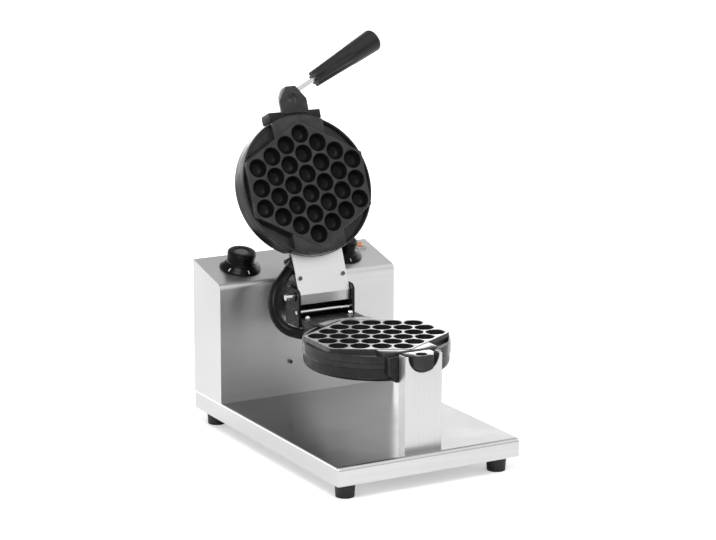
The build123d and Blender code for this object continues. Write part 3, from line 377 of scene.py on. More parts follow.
@dataclass(frozen=True)
class CoatedCasting:
    """Cast aluminium under a satin black coat, with a fine cast grain.

    Painted sheen is how far it turns metallic and is painted pale where it is seen at a flat angle.
    """

    name: str
    level: float
    roughness: float
    grain_scale: float = 650.0
    grain_depth: float = 0.08 * MM
    painted_sheen: float = 0.0
    specular: float = 0.5
    wear_scale: float = 55.0
    flat_angle: Span = (0.66, 0.8)
    painted_sheen_grey: float = 0.85
    level_shares: Span = (0.6, 1.5)
    gloss_shares: Span = (1.25, 0.8)
    grain_strength: float = 0.6

    def paint_sheen(self, shader: Shader) -> None:
        """Paint a sheen: surfaces seen at a flat angle turn metallic, and their colour is painted pale.
        Let surfaces that are seen at a flat angle shine like metal, to match the photo's tones.

        Args:
            shader: The material's nodes.
        """
        # Painted sheen: at flat view angles the base colour is painted pale grey and made metallic.
        facing = shader.add("LayerWeight").outputs["Facing"]
        rise = shader.ramp(facing, self.flat_angle, (0.0, self.painted_sheen))
        shader.set(Metallic=rise)
        shader.repaint(rise, grey(self.painted_sheen_grey))

    def build(self) -> bpy.types.Material:
        """Make the material: grain in the height, wider cloudy wear in the colour and gloss.

        Returns:
            The new material.
        """
        shader = Shader(self.name)
        wear = shader.noise((self.wear_scale,) * 3, 6.0)
        grain = shader.noise((self.grain_scale,) * 3, 3.0)
        dark, bright = (grey(self.level * share) for share in self.level_shares)
        shader.tint(shader.span(wear, 0.0, 1.0), dark, bright)
        if self.painted_sheen > 0:
            self.paint_sheen(shader)
        gloss = shader.shares(wear, self.roughness, self.gloss_shares)
        shader.bump(grain, self.grain_depth, self.grain_strength)
        shader.set(Roughness=gloss, Specular_IOR_Level=self.specular)
        return shader.material


@dataclass(frozen=True)
class Moulded:
    """Moulded plastic or rubber with a faint surface grain."""

    name: str
    colour: Colour
    roughness: float
    grain_depth: float = 0.02 * MM
    coat: float = 0.0
    specular: float = 0.5
    mottle_scale: float = 60.0
    grain_scale: float = 1500.0
    grain_strength: float = 0.5
    level_shares: Span = (0.85, 1.15)
    gloss_shares: Span = (0.9, 1.1)

    def build(self) -> bpy.types.Material:
        """Make the material, with slight mottling in its colour and gloss.

        Returns:
            The new material.
        """
        shader = Shader(self.name)
        mottle = shader.noise((self.mottle_scale,) * 3, 4.0)
        grain = shader.noise((self.grain_scale,) * 3, 2.0)
        dark, bright = (scaled(self.colour, share) for share in self.level_shares)
        shader.tint(shader.span(mottle, 0.0, 1.0), dark, bright)
        gloss = shader.shares(mottle, self.roughness, self.gloss_shares)
        shader.bump(grain, self.grain_depth, self.grain_strength)
        shader.set(Roughness=gloss, Coat_Weight=self.coat, Specular_IOR_Level=self.specular)
        return shader.material


@dataclass(frozen=True)
class LitLens:
    """A translucent orange lens that glows a little: a painted glow, though it is no lamp."""

    name: str
    colour: Colour
    glow: float
    roughness: float = 0.15
    spot_scale: float = 220.0
    dim_share: float = 0.7

    def build(self) -> bpy.types.Material:
        """Make the material, its colour brighter in noisy spots, with a painted glow.

        Returns:
            The new material.
        """
        shader = Shader(self.name)
        spots = shader.noise((self.spot_scale,) * 3, 2.0)
        shader.tint(spots, scaled(self.colour, self.dim_share), self.colour)
        # Painted glow: the emission makes the lens shine though it is no lamp.
        shader.set(Roughness=self.roughness, Emission_Color=(*self.colour, 1.0),
                   Emission_Strength=self.glow, Coat_Weight=1.0)
        return shader.material


Finish = BrushedSteel | PolishedSteel | CoatedCasting | Moulded | LitLens

SHEET_STEEL = BrushedSteel("brushed_sheet", 0.78, 0.34, Grain.ALONG_X, 0.014, smear=0.8)
# The tray's top is darkened by painted shade.
TRAY_STEEL = BrushedSteel("brushed_tray", 0.76, 0.22, Grain.ALONG_X, 0.03, painted_top_shade=0.55, smear=0.7)
STAND_STEEL = BrushedSteel("brushed_stand", 0.76, 0.36, Grain.ALONG_Z, 0.015)
COVER_STEEL = BrushedSteel("brushed_cover", 0.88, 0.42, Grain.ALONG_X, 0.012)
BRIGHT_STEEL = PolishedSteel("bright_steel", 0.85, 0.12)
DULL_STEEL = PolishedSteel("dull_steel", 0.35, 0.35)
DARK_STEEL = PolishedSteel("dark_steel", 0.12, 0.18)
# The casting's coat carries a strong painted sheen at flat angles.
COATED = CoatedCasting("coated_casting", 0.017, 0.3, painted_sheen=0.85)
# The rim and side wear a darker copy of the coat with a weaker painted sheen: painted shade.
RIM_PAINTED_SHADE = CoatedCasting("rim_painted_shade", 0.011, 0.3, painted_sheen=0.4, specular=0.4)
# The cups wear a much darker copy of the coat: painted shade in the hollows.
CUP_PAINTED_SHADE = CoatedCasting("cup_painted_shade", 0.004, 0.5, specular=0.15)
BLACK_PAINT = CoatedCasting("black_paint", 0.008, 0.3, 1400.0, 0.02 * MM, specular=0.3)
RUBBER = Moulded("foot_rubber", grey(0.01), 0.55, 0.04 * MM)
SLEEVE = Moulded("conduit_sleeve", grey(0.003), 0.34, specular=0.14)
LINER = Moulded("notch_liner", grey(0.006), 0.6)
NYLON = Moulded("black_nylon", grey(0.012), 0.45)
PHENOLIC = Moulded("grip_phenolic", grey(0.006), 0.28, 0.01 * MM, coat=0.1, specular=0.4)
KNOB_PLASTIC = Moulded("knob_plastic", grey(0.003), 0.2, specular=0.11)
CAP_PLASTIC = Moulded("cap_plastic", grey(0.06), 0.3)
MARK_PAINT = Moulded("mark_paint", grey(0.5), 0.5)
UNIT_PLASTIC = Moulded("unit_plastic", grey(0.16, 0.01), 0.5)
BEZEL_PLASTIC = Moulded("bezel_plastic", (0.62, 0.68, 0.72), 0.3)
# The rocker's lens carries a painted glow.
LENS = LitLens("rocker_lens", (0.85, 0.3, 0.12), 0.14)

FINISH_OF_NODE: dict[str, Finish] = {
    "tray": TRAY_STEEL,
    "base_plate": SHEET_STEEL,
    "rubber_feet": RUBBER,
    "foot_screws": DULL_STEEL,
    "housing_shell": SHEET_STEEL,
    "housing_back": SHEET_STEEL,
    "back_screws": BRIGHT_STEEL,
    "front_stud": DARK_STEEL,
    "cable_gland": NYLON,
    "terminal_block": NYLON,
    "front_stand": STAND_STEEL,
    "notch_liner": LINER,
    "shaft_bearing": BLACK_PAINT,
    "timer_unit": UNIT_PLASTIC,
    "thermostat_unit": UNIT_PLASTIC,
    "switch_bezel": BEZEL_PLASTIC,
    "lower_casting": COATED,
    "lower_heater": DULL_STEEL,
    "lower_cover": BLACK_PAINT,
    "lower_cover_screws": DULL_STEEL,
    "yoke": BLACK_PAINT,
    "tongue_screws": BRIGHT_STEEL,
    "stop_rod": BRIGHT_STEEL,
    "pivot_bolt": BRIGHT_STEEL,
    "pivot_washer": BLACK_PAINT,
    "flip_shaft": DULL_STEEL,
    "shaft_clip": DULL_STEEL,
    "plate_gland": NYLON,
    "wire_conduit": SLEEVE,
    "upper_casting": COATED,
    "upper_heater": DULL_STEEL,
    "upper_cover": BLACK_PAINT,
    "upper_cover_screws": DULL_STEEL,
    "hinge_arm_left": BLACK_PAINT,
    "hinge_arm_right": BLACK_PAINT,
    "arm_screws": DULL_STEEL,
    "arm_gland": NYLON,
    "hinge_cover": COVER_STEEL,
    "hinge_cover_screws": DARK_STEEL,
    "handle_rod": BRIGHT_STEEL,
    "handle_grip": PHENOLIC,
    "timer_spindle": DULL_STEEL,
    "timer_knob": KNOB_PLASTIC,
    "timer_cap": CAP_PLASTIC,
    "thermostat_spindle": DULL_STEEL,
    "thermostat_knob": KNOB_PLASTIC,
    "thermostat_cap": CAP_PLASTIC,
    "switch_rocker": LENS,
}


class Paintbox:
    """Builds each finish once and hands out its material."""

    def __init__(self) -> None:
        """Start with no materials."""
        self.made: dict[str, bpy.types.Material] = {}

    def material(self, finish: Finish) -> bpy.types.Material:
        """Give the material of a finish, and build it the first time.

        Args:
            finish: The finish.

        Returns:
            Its material.
        """
        if finish.name not in self.made:
            self.made[finish.name] = finish.build()
        return self.made[finish.name]

    def dress_nodes(self) -> None:
        """Give every CAD node its finish."""
        for node, finish in FINISH_OF_NODE.items():
            mesh = frame["nodes"][node].data
            mesh.materials.clear()
            mesh.materials.append(self.material(finish))


PAINTBOX = Paintbox()


def shown(name: str, data: bpy.types.ID) -> bpy.types.Object:
    """Make an object of a mesh, a lamp or a camera, and link it to the scene.

    Args:
        name: The object's name.
        data: The mesh, lamp or camera.

    Returns:
        The new object.
    """
    thing = bpy.data.objects.new(name, data)
    bpy.context.scene.collection.objects.link(thing)
    return thing


def smooth_up_to(mesh: bpy.types.Mesh, sharp: float) -> None:
    """Shade a mesh smooth, except at edges sharper than an angle in degrees."""
    mesh.shade_smooth()
    mesh.set_sharp_from_angle(angle=math.radians(sharp))


class Surface:
    """Collects grids of points and makes one closed, smooth mesh of them."""

    merge_distance: float = 0.004 * MM
    sliver: float = 0.002 * MM

    def __init__(self, name: str) -> None:
        """Start an empty surface.

        Args:
            name: The piece's name.
        """
        self.name = name
        self.points: list[np.ndarray] = []
        self.faces: list[np.ndarray] = []
        self.slots: list[int] = []
        self.count = 0

    def grid(self, points: np.ndarray, round_columns: bool = False, slot: int = 0) -> None:
        """Add a grid of quads.

        Args:
            points: An array of rows by columns by three, in metres.
            round_columns: Whether the last column joins the first.
            slot: Which of the piece's finishes the quads wear.
        """
        rows, columns = points.shape[:2]
        row = np.arange(rows - 1)
        column = np.arange(columns if round_columns else columns - 1)
        i, j = np.meshgrid(row, column, indexing="ij")
        i2, j2 = i + 1, (j + 1) % columns
        quads = np.stack([i * columns + j, i * columns + j2, i2 * columns + j2, i2 * columns + j], -1)
        self.points.append(points.reshape(-1, 3))
        self.faces.append(quads.reshape(-1, 4) + self.count)
        self.slots += [slot] * len(self.faces[-1])
        self.count += rows * columns

    def piece(self, finish: Finish, body: Body | None, *nodes: str, sharp: float = 32.0,
              others: tuple[Finish, ...] = ()) -> bpy.types.Object:
        """Make the object: merged, facing outwards, smooth up to a sharp angle.

        Args:
            finish: The finish that it wears.
            body: The body that it rides on, or None where it rides on none.
            nodes: The CAD nodes that it stands for.
            sharp: The angle in degrees past which an edge stays sharp.
            others: The finishes of the quads in slots 1 and up, where there are any.

        Returns:
            The new object.
        """
        mesh = bpy.data.meshes.new(self.name)
        mesh.from_pydata(np.concatenate(self.points).tolist(), [],
                         np.concatenate(self.faces).tolist())
        for worn in (finish, *others):
            mesh.materials.append(PAINTBOX.material(worn))
        mesh.polygons.foreach_set("material_index", self.slots)
        work = bmesh.new()
        work.from_mesh(mesh)
        bmesh.ops.remove_doubles(work, verts=work.verts, dist=self.merge_distance)
        bmesh.ops.dissolve_degenerate(work, edges=work.edges, dist=self.sliver)
        bmesh.ops.recalc_face_normals(work, faces=work.faces)
        work.to_mesh(mesh)
        work.free()
        smooth_up_to(mesh, sharp)
        piece = shown(self.name, mesh)
        if nodes:
            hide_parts(*nodes)
        if body is not None:
            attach(piece, body.value)
        LOG.info("%s: %d faces", self.name, len(mesh.polygons))
        return piece


def radius_to(lines: np.ndarray, angle: np.ndarray) -> np.ndarray:
    """Give how far a convex outline lies from the origin at each angle.

    It is the least, over the lines that face that way, of a line's distance over the cosine
    of the angle to its normal.

    Args:
        lines: The outline's lines, as rows of normal angle and distance from the origin.
        angle: The angles.

    Returns:
        The distance at each angle.
    """
    cosine = np.cos(angle[:, None] - lines[None, :, 0])
    reach = np.where(cosine > TINY, lines[None, :, 1] / np.maximum(cosine, TINY), np.inf)
    return reach.min(1)


def corner_angles(lines: np.ndarray) -> np.ndarray:
    """Give the angles of a convex outline's corners, found where two of its lines cross.

    Args:
        lines: The outline's lines, as rows of normal angle and distance from the origin.

    Returns:
        The angles of the crossings that lie on the outline.
    """
    a, b = np.meshgrid(np.arange(len(lines)), np.arange(len(lines)), indexing="ij")
    first, second = lines[a[a < b]], lines[b[a < b]]
    det = np.sin(second[:, 0] - first[:, 0])
    keep = np.abs(det) > TINY
    first, second, det = first[keep], second[keep], det[keep]
    x = (first[:, 1] * np.sin(second[:, 0]) - second[:, 1] * np.sin(first[:, 0])) / det
    y = (second[:, 1] * np.cos(first[:, 0]) - first[:, 1] * np.cos(second[:, 0])) / det
    angle = np.arctan2(y, x) % (2 * math.pi)
    on_outline = np.abs(np.hypot(x, y) - radius_to(lines, angle)) < TINY
    return angle[on_outline]


def around(count: int, extra: np.ndarray = np.array([])) -> np.ndarray:
    """Give evenly spaced angles round a circle, with extra ones put in."""
    even = np.arange(count) * 2 * math.pi / count
    return np.unique(np.round(np.concatenate([even, extra % (2 * math.pi)]), 9))


def polar(radius: np.ndarray | float, height: np.ndarray | float, angle: np.ndarray) -> np.ndarray:
    """Give points round Z at the radius and the height that belong to each angle."""
    return np.stack([radius * np.cos(angle), radius * np.sin(angle), height + 0 * angle], -1)


def turned(profile: np.ndarray, angle: np.ndarray) -> np.ndarray:
    """Turn a profile of (radius, height) rows round Z and give the grid of points."""
    return polar(profile[:, None, 0], profile[:, None, 1], angle)


def oblong(half_width: float, front: float, back: float) -> np.ndarray:
    """Give the corners of a rectangle that is centred on X."""
    return np.array([(-half_width, front), (half_width, front), (half_width, back), (-half_width, back)])


class Layout:
    """Places that follow from the frame: the iron's middle, the plates and the hinge."""

    plate_gap: float = 0.5 * MM
    plate_ahead_of_hinge: float = 164 * MM

    def __init__(self) -> None:
        """Read the tray and the joints from the frame."""
        low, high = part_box("tray")
        self.middle_x = (low.x + high.x) / 2
        self.front_y = low.y
        joints = {j["name"]: j for j in frame["joints"]}
        self.hinge = Vector(joints["lid_hinge"]["pos_m"])
        self.open_angle = math.radians(joints["lid_hinge"]["range_deg"][1])
        self.knobs = {Body.TIMER: joints["timer_turn"], Body.THERMOSTAT: joints["thermostat_turn"]}
        flip_z = Vector(joints["iron_flip"]["pos_m"]).z
        self.plate = np.array([self.middle_x, self.hinge.y - self.plate_ahead_of_hinge, flip_z])

    def at_lower(self, points: np.ndarray) -> np.ndarray:
        """Put face-up plate points on the lower plate."""
        return points + self.plate - np.array([0, 0, self.plate_gap / 2])

    def at_upper(self, points: np.ndarray) -> np.ndarray:
        """Turn face-up plate points over, put them on the lid and swing it open."""
        over = points * np.array([-1, 1, -1]) + np.array([0, 0, self.plate_gap / 2])
        return self.swung(over + self.plate)

    def swung(self, points: np.ndarray) -> np.ndarray:
        """Turn closed-lid points about the hinge to the open rest pose.

        Args:
            points: The points with the lid closed.

        Returns:
            The points with the lid open.
        """
        hinge = np.array(self.hinge)
        c, s = math.cos(-self.open_angle), math.sin(-self.open_angle)
        turn = np.array([[1, 0, 0], [0, c, -s], [0, s, c]])
        return (points - hinge) @ turn.T + hinge


LAYOUT = Layout()


@dataclass
class Plate:
    """One cooking plate: a field of round cups in a six-sided pan on a round body.

    The bowl is a cup's profile, as shares of its radius and of its depth. The wall is the
    pan's, as how far out and down each ring lies and how much room it leaves to the plate's
    round edge. The lip's edge and the low edge are how far in each circle lies, and how far
    below the lip's top or the plate's bottom.
    """

    body: Body
    place: Place
    pitch: float = 31 * MM
    rows: int = 3
    cup_radius: float = 13.5 * MM
    cup_depth: float = 13 * MM
    cup_steps: int = 72
    rim_round: float = 0.9 * MM
    neighbour_reach: float = 1.2
    pan_margin: float = 17.5 * MM
    disc_radius: float = 108 * MM
    disc_steps: int = 360
    thick: float = 24 * MM
    lip_width: float = 3.4 * MM
    lip_drop: float = 5.5 * MM
    lip_round: float = 0.8 * MM
    groove_drop: float = 11.5 * MM
    groove_gap: float = 4.6 * MM
    groove_slope: float = 1.6 * MM
    seam: float = 15.5 * MM
    seam_depth: float = 0.5 * MM
    seam_half: float = 0.4 * MM
    rim_bends: tuple[float, ...] = (30, 60, 90)
    bowl: tuple[Span, ...] = (
        (0, 1), (0.25, 0.995), (0.4, 0.97), (0.52, 0.93), (0.62, 0.87), (0.7, 0.79), (0.77, 0.68),
        (0.85, 0.49), (0.93, 0.26), (1, 0))
    wall_mm: tuple[tuple[float, float, float], ...] = (
        (0, 0, 1.6), (0.5, 0.2, 1.5), (0.9, 1.0, 1.4), (2.4, 7.4, 1.3), (3.0, 9.0, 1.2))
    lip_edge_mm: tuple[Span, ...] = ((0.9, 0), (0.2, 0.4), (0, 1.2))
    low_edge_mm: tuple[Span, ...] = ((0, -1.0), (0.8, -0.1), (1.6, 0))

    def cup_centres(self) -> np.ndarray:
        """Give the cup centres in staggered columns that shorten from the middle.

        Returns:
            The centres as rows of X and Y.
        """
        column = self.pitch * math.sqrt(3) / 2
        return np.array([
            (k * column, (i - (2 * self.rows - abs(k) - 1) / 2) * self.pitch)
            for k in range(-self.rows, self.rows + 1)
            for i in range(2 * self.rows - abs(k))
        ])

    def pan_lines(self) -> np.ndarray:
        """Give the pan's six sides as rows of normal angle and distance.

        Returns:
            The rows, which start at the right and run round against the clock.
        """
        column = self.pitch * math.sqrt(3) / 2
        side = self.rows * column + self.pan_margin
        slant = (self.rows - 0.5) * column + self.pan_margin
        return np.array([(math.radians(turn), side if turn % 180 == 0 else slant)
                         for turn in range(0, 360, 60)])

    def cup_lines(self, centre: np.ndarray, centres: np.ndarray) -> np.ndarray:
        """Give the outline of one cup's web.

        The web ends half way to each neighbour, or at a side of the pan.

        Args:
            centre: The cup's centre.
            centres: The centres of all cups.

        Returns:
            The outline about the centre, as rows of normal angle and distance.
        """
        away = centres - centre
        length = np.hypot(away[:, 0], away[:, 1])
        near = (length > TINY) & (length < self.neighbour_reach * self.pitch)
        between = np.stack([np.arctan2(away[near, 1], away[near, 0]), length[near] / 2], 1)
        pan = self.pan_lines()
        reach = pan[:, 1] - centre[0] * np.cos(pan[:, 0]) - centre[1] * np.sin(pan[:, 0])
        return np.concatenate([between, np.stack([pan[:, 0], reach], 1)])

    def cup(self, surface: Surface, centre: np.ndarray, centres: np.ndarray) -> None:
        """Add one cup with the flat web round it.

        The bowl's profile is turned round the cup's axis, and its rim is a quarter round that
        meets the web.

        Args:
            surface: The plate's surface.
            centre: The cup's centre.
            centres: The centres of all cups.
        """
        lines = self.cup_lines(centre, centres)
        angle = around(self.cup_steps, corner_angles(lines))
        share, fall = np.array(self.bowl, float).T
        room = self.cup_depth - self.rim_round
        bowl = np.stack([share * self.cup_radius, -fall * room - self.rim_round], 1)
        bend = np.radians(self.rim_bends)
        rim = np.stack([self.cup_radius + self.rim_round * (1 - np.cos(bend)),
                        self.rim_round * (np.sin(bend) - 1)], 1)
        rings = turned(np.concatenate([bowl, rim]), angle)
        web = polar(radius_to(lines, angle), 0.0, angle)
        flat = np.stack([rings[-1], (rings[-1] + web) / 2, web])
        at = np.array([centre[0], centre[1], 0])
        # The bowls wear slot 1, the coat's copy with painted shade.
        surface.grid(self.place(rings + at), round_columns=True, slot=1)
        surface.grid(self.place(flat + at), round_columns=True)

    def side(self) -> list[Span]:
        """Give the round side's profile, as how far in and down each circle lies.

        It runs from the lip's rounded edge past the fine seam to the rounded lower edge.

        Returns:
            The circles as pairs.
        """
        seam, half = self.seam, self.seam_half
        return [*((back * MM, self.lip_drop + drop * MM) for back, drop in self.lip_edge_mm),
                (0, seam), (self.seam_depth, seam + half), (0, seam + 2 * half),
                *((back * MM, self.thick + drop * MM) for back, drop in self.low_edge_mm)]

    def rim(self, surface: Surface) -> None:
        """Add the pan's wall, the drip groove, the lip and the round side, down to the bottom.

        Each ring is either the pan's outline moved out, held inside the round edge, or a
        circle, so that the surface runs smoothly from the six-sided pan to the round body.

        Args:
            surface: The plate's surface.
        """
        lines = self.pan_lines()
        angle = around(self.disc_steps, corner_angles(lines))
        pan = radius_to(lines, angle)
        edge, lip = self.disc_radius, self.disc_radius - self.lip_width
        rings = [(np.minimum(pan + out * MM, edge - room * MM), -drop * MM)
                 for out, drop, room in self.wall_mm]
        foot = rings[-1][0]
        inner = np.maximum(foot, np.minimum(pan + self.groove_gap, lip))
        outer = np.maximum(inner, lip - self.groove_slope)
        crest = np.maximum(outer, lip)
        rings += [
            (inner, -self.groove_drop),
            (outer, -self.groove_drop),
            (crest, -self.lip_drop - self.lip_round),
            (np.maximum(crest, lip + self.lip_round), -self.lip_drop),
        ]
        rings += [(edge - back, -drop) for back, drop in self.side()]
        rings += [(edge / 2, -self.thick), (0.0, -self.thick)]
        grid = np.stack([polar(radius, height, angle) for radius, height in rings])
        # The rim and side wear slot 2, the coat's copy with painted shade.
        surface.grid(self.place(grid), round_columns=True, slot=2)

    def build(self, name: str, node: str) -> None:
        """Make the plate's surface and let it stand for the casting.

        Args:
            name: The piece's name.
            node: The casting's node.
        """
        surface = Surface(name)
        centres = self.cup_centres()
        for centre in centres:
            self.cup(surface, centre, centres)
        self.rim(surface)
        # Cups and rim wear darker copies of the coat: painted shade.
        surface.piece(COATED, self.body, node, others=(CUP_PAINTED_SHADE, RIM_PAINTED_SHADE))


@dataclass
class Nose:
    """A half-round nose in front of a plate, drawn in at its tip, with a round pocket.

    The pocket's floor is given as shares of its radius and depth, and the least depth of the
    belly as a multiple of the edge's round.
    """

    plate: Plate
    length: float
    straight: float
    tip: float
    pocket_radius: float
    pocket_depth: float
    radius: float = 23 * MM
    root: float = -114.5 * MM
    overlap: float = 4 * MM
    edge_round: float = 0.8 * MM
    steps: int = 120
    pocket_floor: tuple[Span, ...] = ((0, 1), (0.8, 1), (0.95, 0.8))
    top_corner: float = 0.3
    belly_start: float = 0.97
    belly_steps: int = 14
    least_depth: float = 1.2

    def plan_lines(self, middle: float) -> np.ndarray:
        """Give the nose's plan outline about the pocket, as normal angles and distances.

        Args:
            middle: The Y of the pocket's middle.

        Returns:
            The outline's lines as rows.
        """
        front = self.root - self.length
        knee = self.root - self.straight
        slope = math.atan2(self.radius - self.tip, knee - front)
        cheek = (self.radius * math.cos(slope)) + (knee - middle) * -math.sin(slope)
        return np.array([
            (0.0, self.radius),
            (math.pi, self.radius),
            (-math.pi / 2, middle - front),
            (math.pi / 2, self.root + self.overlap - middle),
            (-slope, cheek),
            (math.pi + slope, cheek),
        ])

    def build(self, name: str) -> None:
        """Make the nose as rings round the pocket's middle.

        The rings run from the pocket's floor up its wall, out over the flat top, down the
        sides and in again under the round belly, whose depth at each X is that of a circle.

        Args:
            name: The piece's name.
        """
        middle = self.root - self.length / 2
        lines = self.plan_lines(middle)
        angle = around(self.steps, corner_angles(lines))
        edge = radius_to(lines, angle)
        r, d, e = self.pocket_radius, self.pocket_depth, self.edge_round
        floor = [(share * r, -deep * d) for share, deep in self.pocket_floor]
        pocket = [*floor, (r, -e), (r + e, 0)]
        corner = self.top_corner * e
        top = [polar(edge - inset, -drop, angle) for inset, drop in ((e, 0), (corner, corner), (0, e))]
        share = np.concatenate([[1.0], np.linspace(self.belly_start, 0, self.belly_steps)])[:, None]
        x, y = share * edge * np.cos(angle), share * edge * np.sin(angle)
        depth = np.sqrt(np.maximum(self.radius ** 2 - x ** 2, 0))
        belly = np.stack([x, y, -np.maximum(depth, e * self.least_depth)], -1)
        grid = np.concatenate([turned(np.array(pocket), angle), top, belly])
        surface = Surface(name)
        surface.grid(self.plate.place(grid + np.array([0, middle, 0])), round_columns=True)
        surface.piece(COATED, self.plate.body)


@dataclass
class Slab:
    """A solid of one outline carried straight along X, Y or Z, with its edges rounded."""

    name: str
    outline: np.ndarray
    axis: int
    low: float
    high: float
    bevel: float = 0.8 * MM
    sharp: float = 40.0

    def build(self, place: Place, finish: Finish, body: Body) -> None:
        """Make the slab: two flat ends and a band of sides, then a bevel on every edge.

        Args:
            place: What puts the slab's points in the scene.
            finish: The finish that it wears.
            body: The body that it rides on.
        """
        count = len(self.outline)
        ends = [np.insert(self.outline, self.axis, level, axis=1) for level in (self.low, self.high)]
        points = place(np.concatenate(ends))
        ring = np.arange(count)
        after = (ring + 1) % count
        sides = np.stack([ring, after, after + count, ring + count], 1).tolist()
        mesh = bpy.data.meshes.new(self.name)
        mesh.from_pydata(points.tolist(), [], sides + [ring[::-1].tolist(), (ring + count).tolist()])
        work = bmesh.new()
        work.from_mesh(mesh)
        bmesh.ops.recalc_face_normals(work, faces=work.faces)
        bmesh.ops.bevel(work, geom=work.edges[:], offset=self.bevel, segments=2,
                        affect="EDGES", profile=0.5)
        work.to_mesh(mesh)
        work.free()
        smooth_up_to(mesh, self.sharp)
        mesh.materials.append(PAINTBOX.material(finish))
        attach(shown(self.name, mesh), body.value)
        LOG.info("%s: slab", self.name)


@dataclass
class Shoulder:
    """The block behind the support, with cut corners, and the webs that join the plate."""

    plate: Plate
    half_width: float = 44 * MM
    front: float = -114.5 * MM
    depth: float = 14 * MM
    height: float = 41 * MM
    cut: float = 11 * MM
    drop: float = 4 * MM
    block_bevel: float = 1.0 * MM
    disc_inset: float = 1 * MM
    pan_inset: float = 1.5 * MM
    web_inset: float = 0.4 * MM
    web_drop: float = 0.5 * MM
    web_bevel: float = 0.7 * MM
    arc_steps: int = 15

    def web(self) -> np.ndarray:
        """Give the back web's outline: an arc inside the disc's edge, and the pan's corner.

        Returns:
            The outline's points.
        """
        slant = self.plate.pan_lines()[1, 1] - self.pan_inset
        side = (slant - self.half_width / 2) * 2 / math.sqrt(3)
        tip = slant * 2 / math.sqrt(3)
        width = self.half_width - self.web_inset
        radius = self.plate.disc_radius - self.disc_inset
        turn = math.asin(width / radius)
        arc = np.linspace(-turn, turn, self.arc_steps)
        rim = radius * np.stack([np.sin(arc), np.cos(arc)], 1)
        return np.concatenate([rim, [(width, side), (0, tip), (-width, side)]])

    def build(self, name: str) -> None:
        """Make the block, which lies a little below the plate's face, and both webs.

        Args:
            name: The block's name, which the webs' names start with.
        """
        w, h, c, d = self.half_width, self.height, self.cut, self.drop
        outline = np.array([(-w, -d), (-w, c - h), (c - w, -h), (w - c, -h), (w, c - h), (w, -d)])
        block = Slab(name, outline, 1, self.front, self.front + self.depth, self.block_bevel)
        # The block, part of the casting, wears the darker black paint in place of its coat: painted
        # shade.
        block.build(self.plate.place, BLACK_PAINT, self.plate.body)
        low = self.disc_inset - self.plate.thick
        back = self.web()
        for end, outline in (("front", back * np.array([1, -1])), ("back", back)):
            web = Slab(f"{name}_{end}_web", outline, 2, low, -self.web_drop, self.web_bevel)
            web.build(self.plate.place, COATED, self.plate.body)


@dataclass
class Tray:
    """The folded tray: a flat top whose four edges bend down into sides, open below.

    Each corner is the signs of its X and its Y, and the angle where its quarter starts.
    """

    sheet: float = 1.5 * MM
    side_bend: float = 3 * MM
    front_bend: float = 6 * MM
    support: float = 0.5 * MM
    bend_steps: int = 9
    corners: tuple[tuple[int, int, int], ...] = ((1, -1, -90), (1, 1, 0), (-1, 1, 90), (-1, -1, 180))

    def ring(self, turn: float, inset: float, z: float | None = None, shrink: float = 0.0) -> np.ndarray:
        """Give one ring of points round the tray.

        At each corner the ring is a quarter ellipse. Its radii are the bends' radii times the
        cosine of the turn, and it lies below the top by the bend times one less the sine.

        Args:
            turn: How far round the bend the ring is, in radians, from the side to the top.
            inset: How far inside the sheet's outer face the ring's skin lies.
            z: The ring's height, where it isn't on the bend.
            shrink: How much further in the ring is moved on the flat top.

        Returns:
            The ring's points.
        """
        low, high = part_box("tray")
        middle = (low + high) / 2
        half = (high - low) / 2
        parts = []
        side = self.side_bend
        for sx, sy, start in self.corners:
            phi = np.radians(start + np.linspace(0, 90, self.bend_steps))
            end = self.front_bend if sy < 0 else side
            bend = side + (end - side) * np.sin(phi) ** 2 - inset
            x = sx * (half.x - side - shrink) + (side - inset) * math.cos(turn) * np.cos(phi)
            y = sy * (half.y - end - shrink) + (end - inset) * math.cos(turn) * np.sin(phi)
            height = high.z - inset - bend * (1 - math.sin(turn)) if z is None else z + 0 * phi
            parts.append(np.stack([middle.x + x, middle.y + y, height], -1))
        return np.concatenate(parts)

    def skin(self, inset: float) -> np.ndarray:
        """Give the rings of the outer or inner skin, from the open bottom up to the middle.

        Args:
            inset: How far inside the sheet's outer face the skin lies.

        Returns:
            The rings' points.
        """
        low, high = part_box("tray")
        side = self.ring(0, inset)
        rings = [self.ring(0, inset, low.z), side - np.array([0, 0, self.support])]
        rings += [self.ring(turn, inset) for turn in np.radians(np.linspace(0, 90, self.bend_steps))]
        rings.append(self.ring(math.pi / 2, inset, shrink=self.support))
        middle = (low + high) / 2
        rings.append(np.broadcast_to([middle.x, middle.y, high.z - inset], side.shape))
        return np.stack(rings)

    def build(self) -> None:
        """Join both skins at the bottom edge into one closed sheet."""
        surface = Surface("folded_tray")
        surface.grid(np.concatenate([self.skin(self.sheet)[::-1], self.skin(0.0)]), round_columns=True)
        surface.piece(TRAY_STEEL, Body.BASE, "tray")


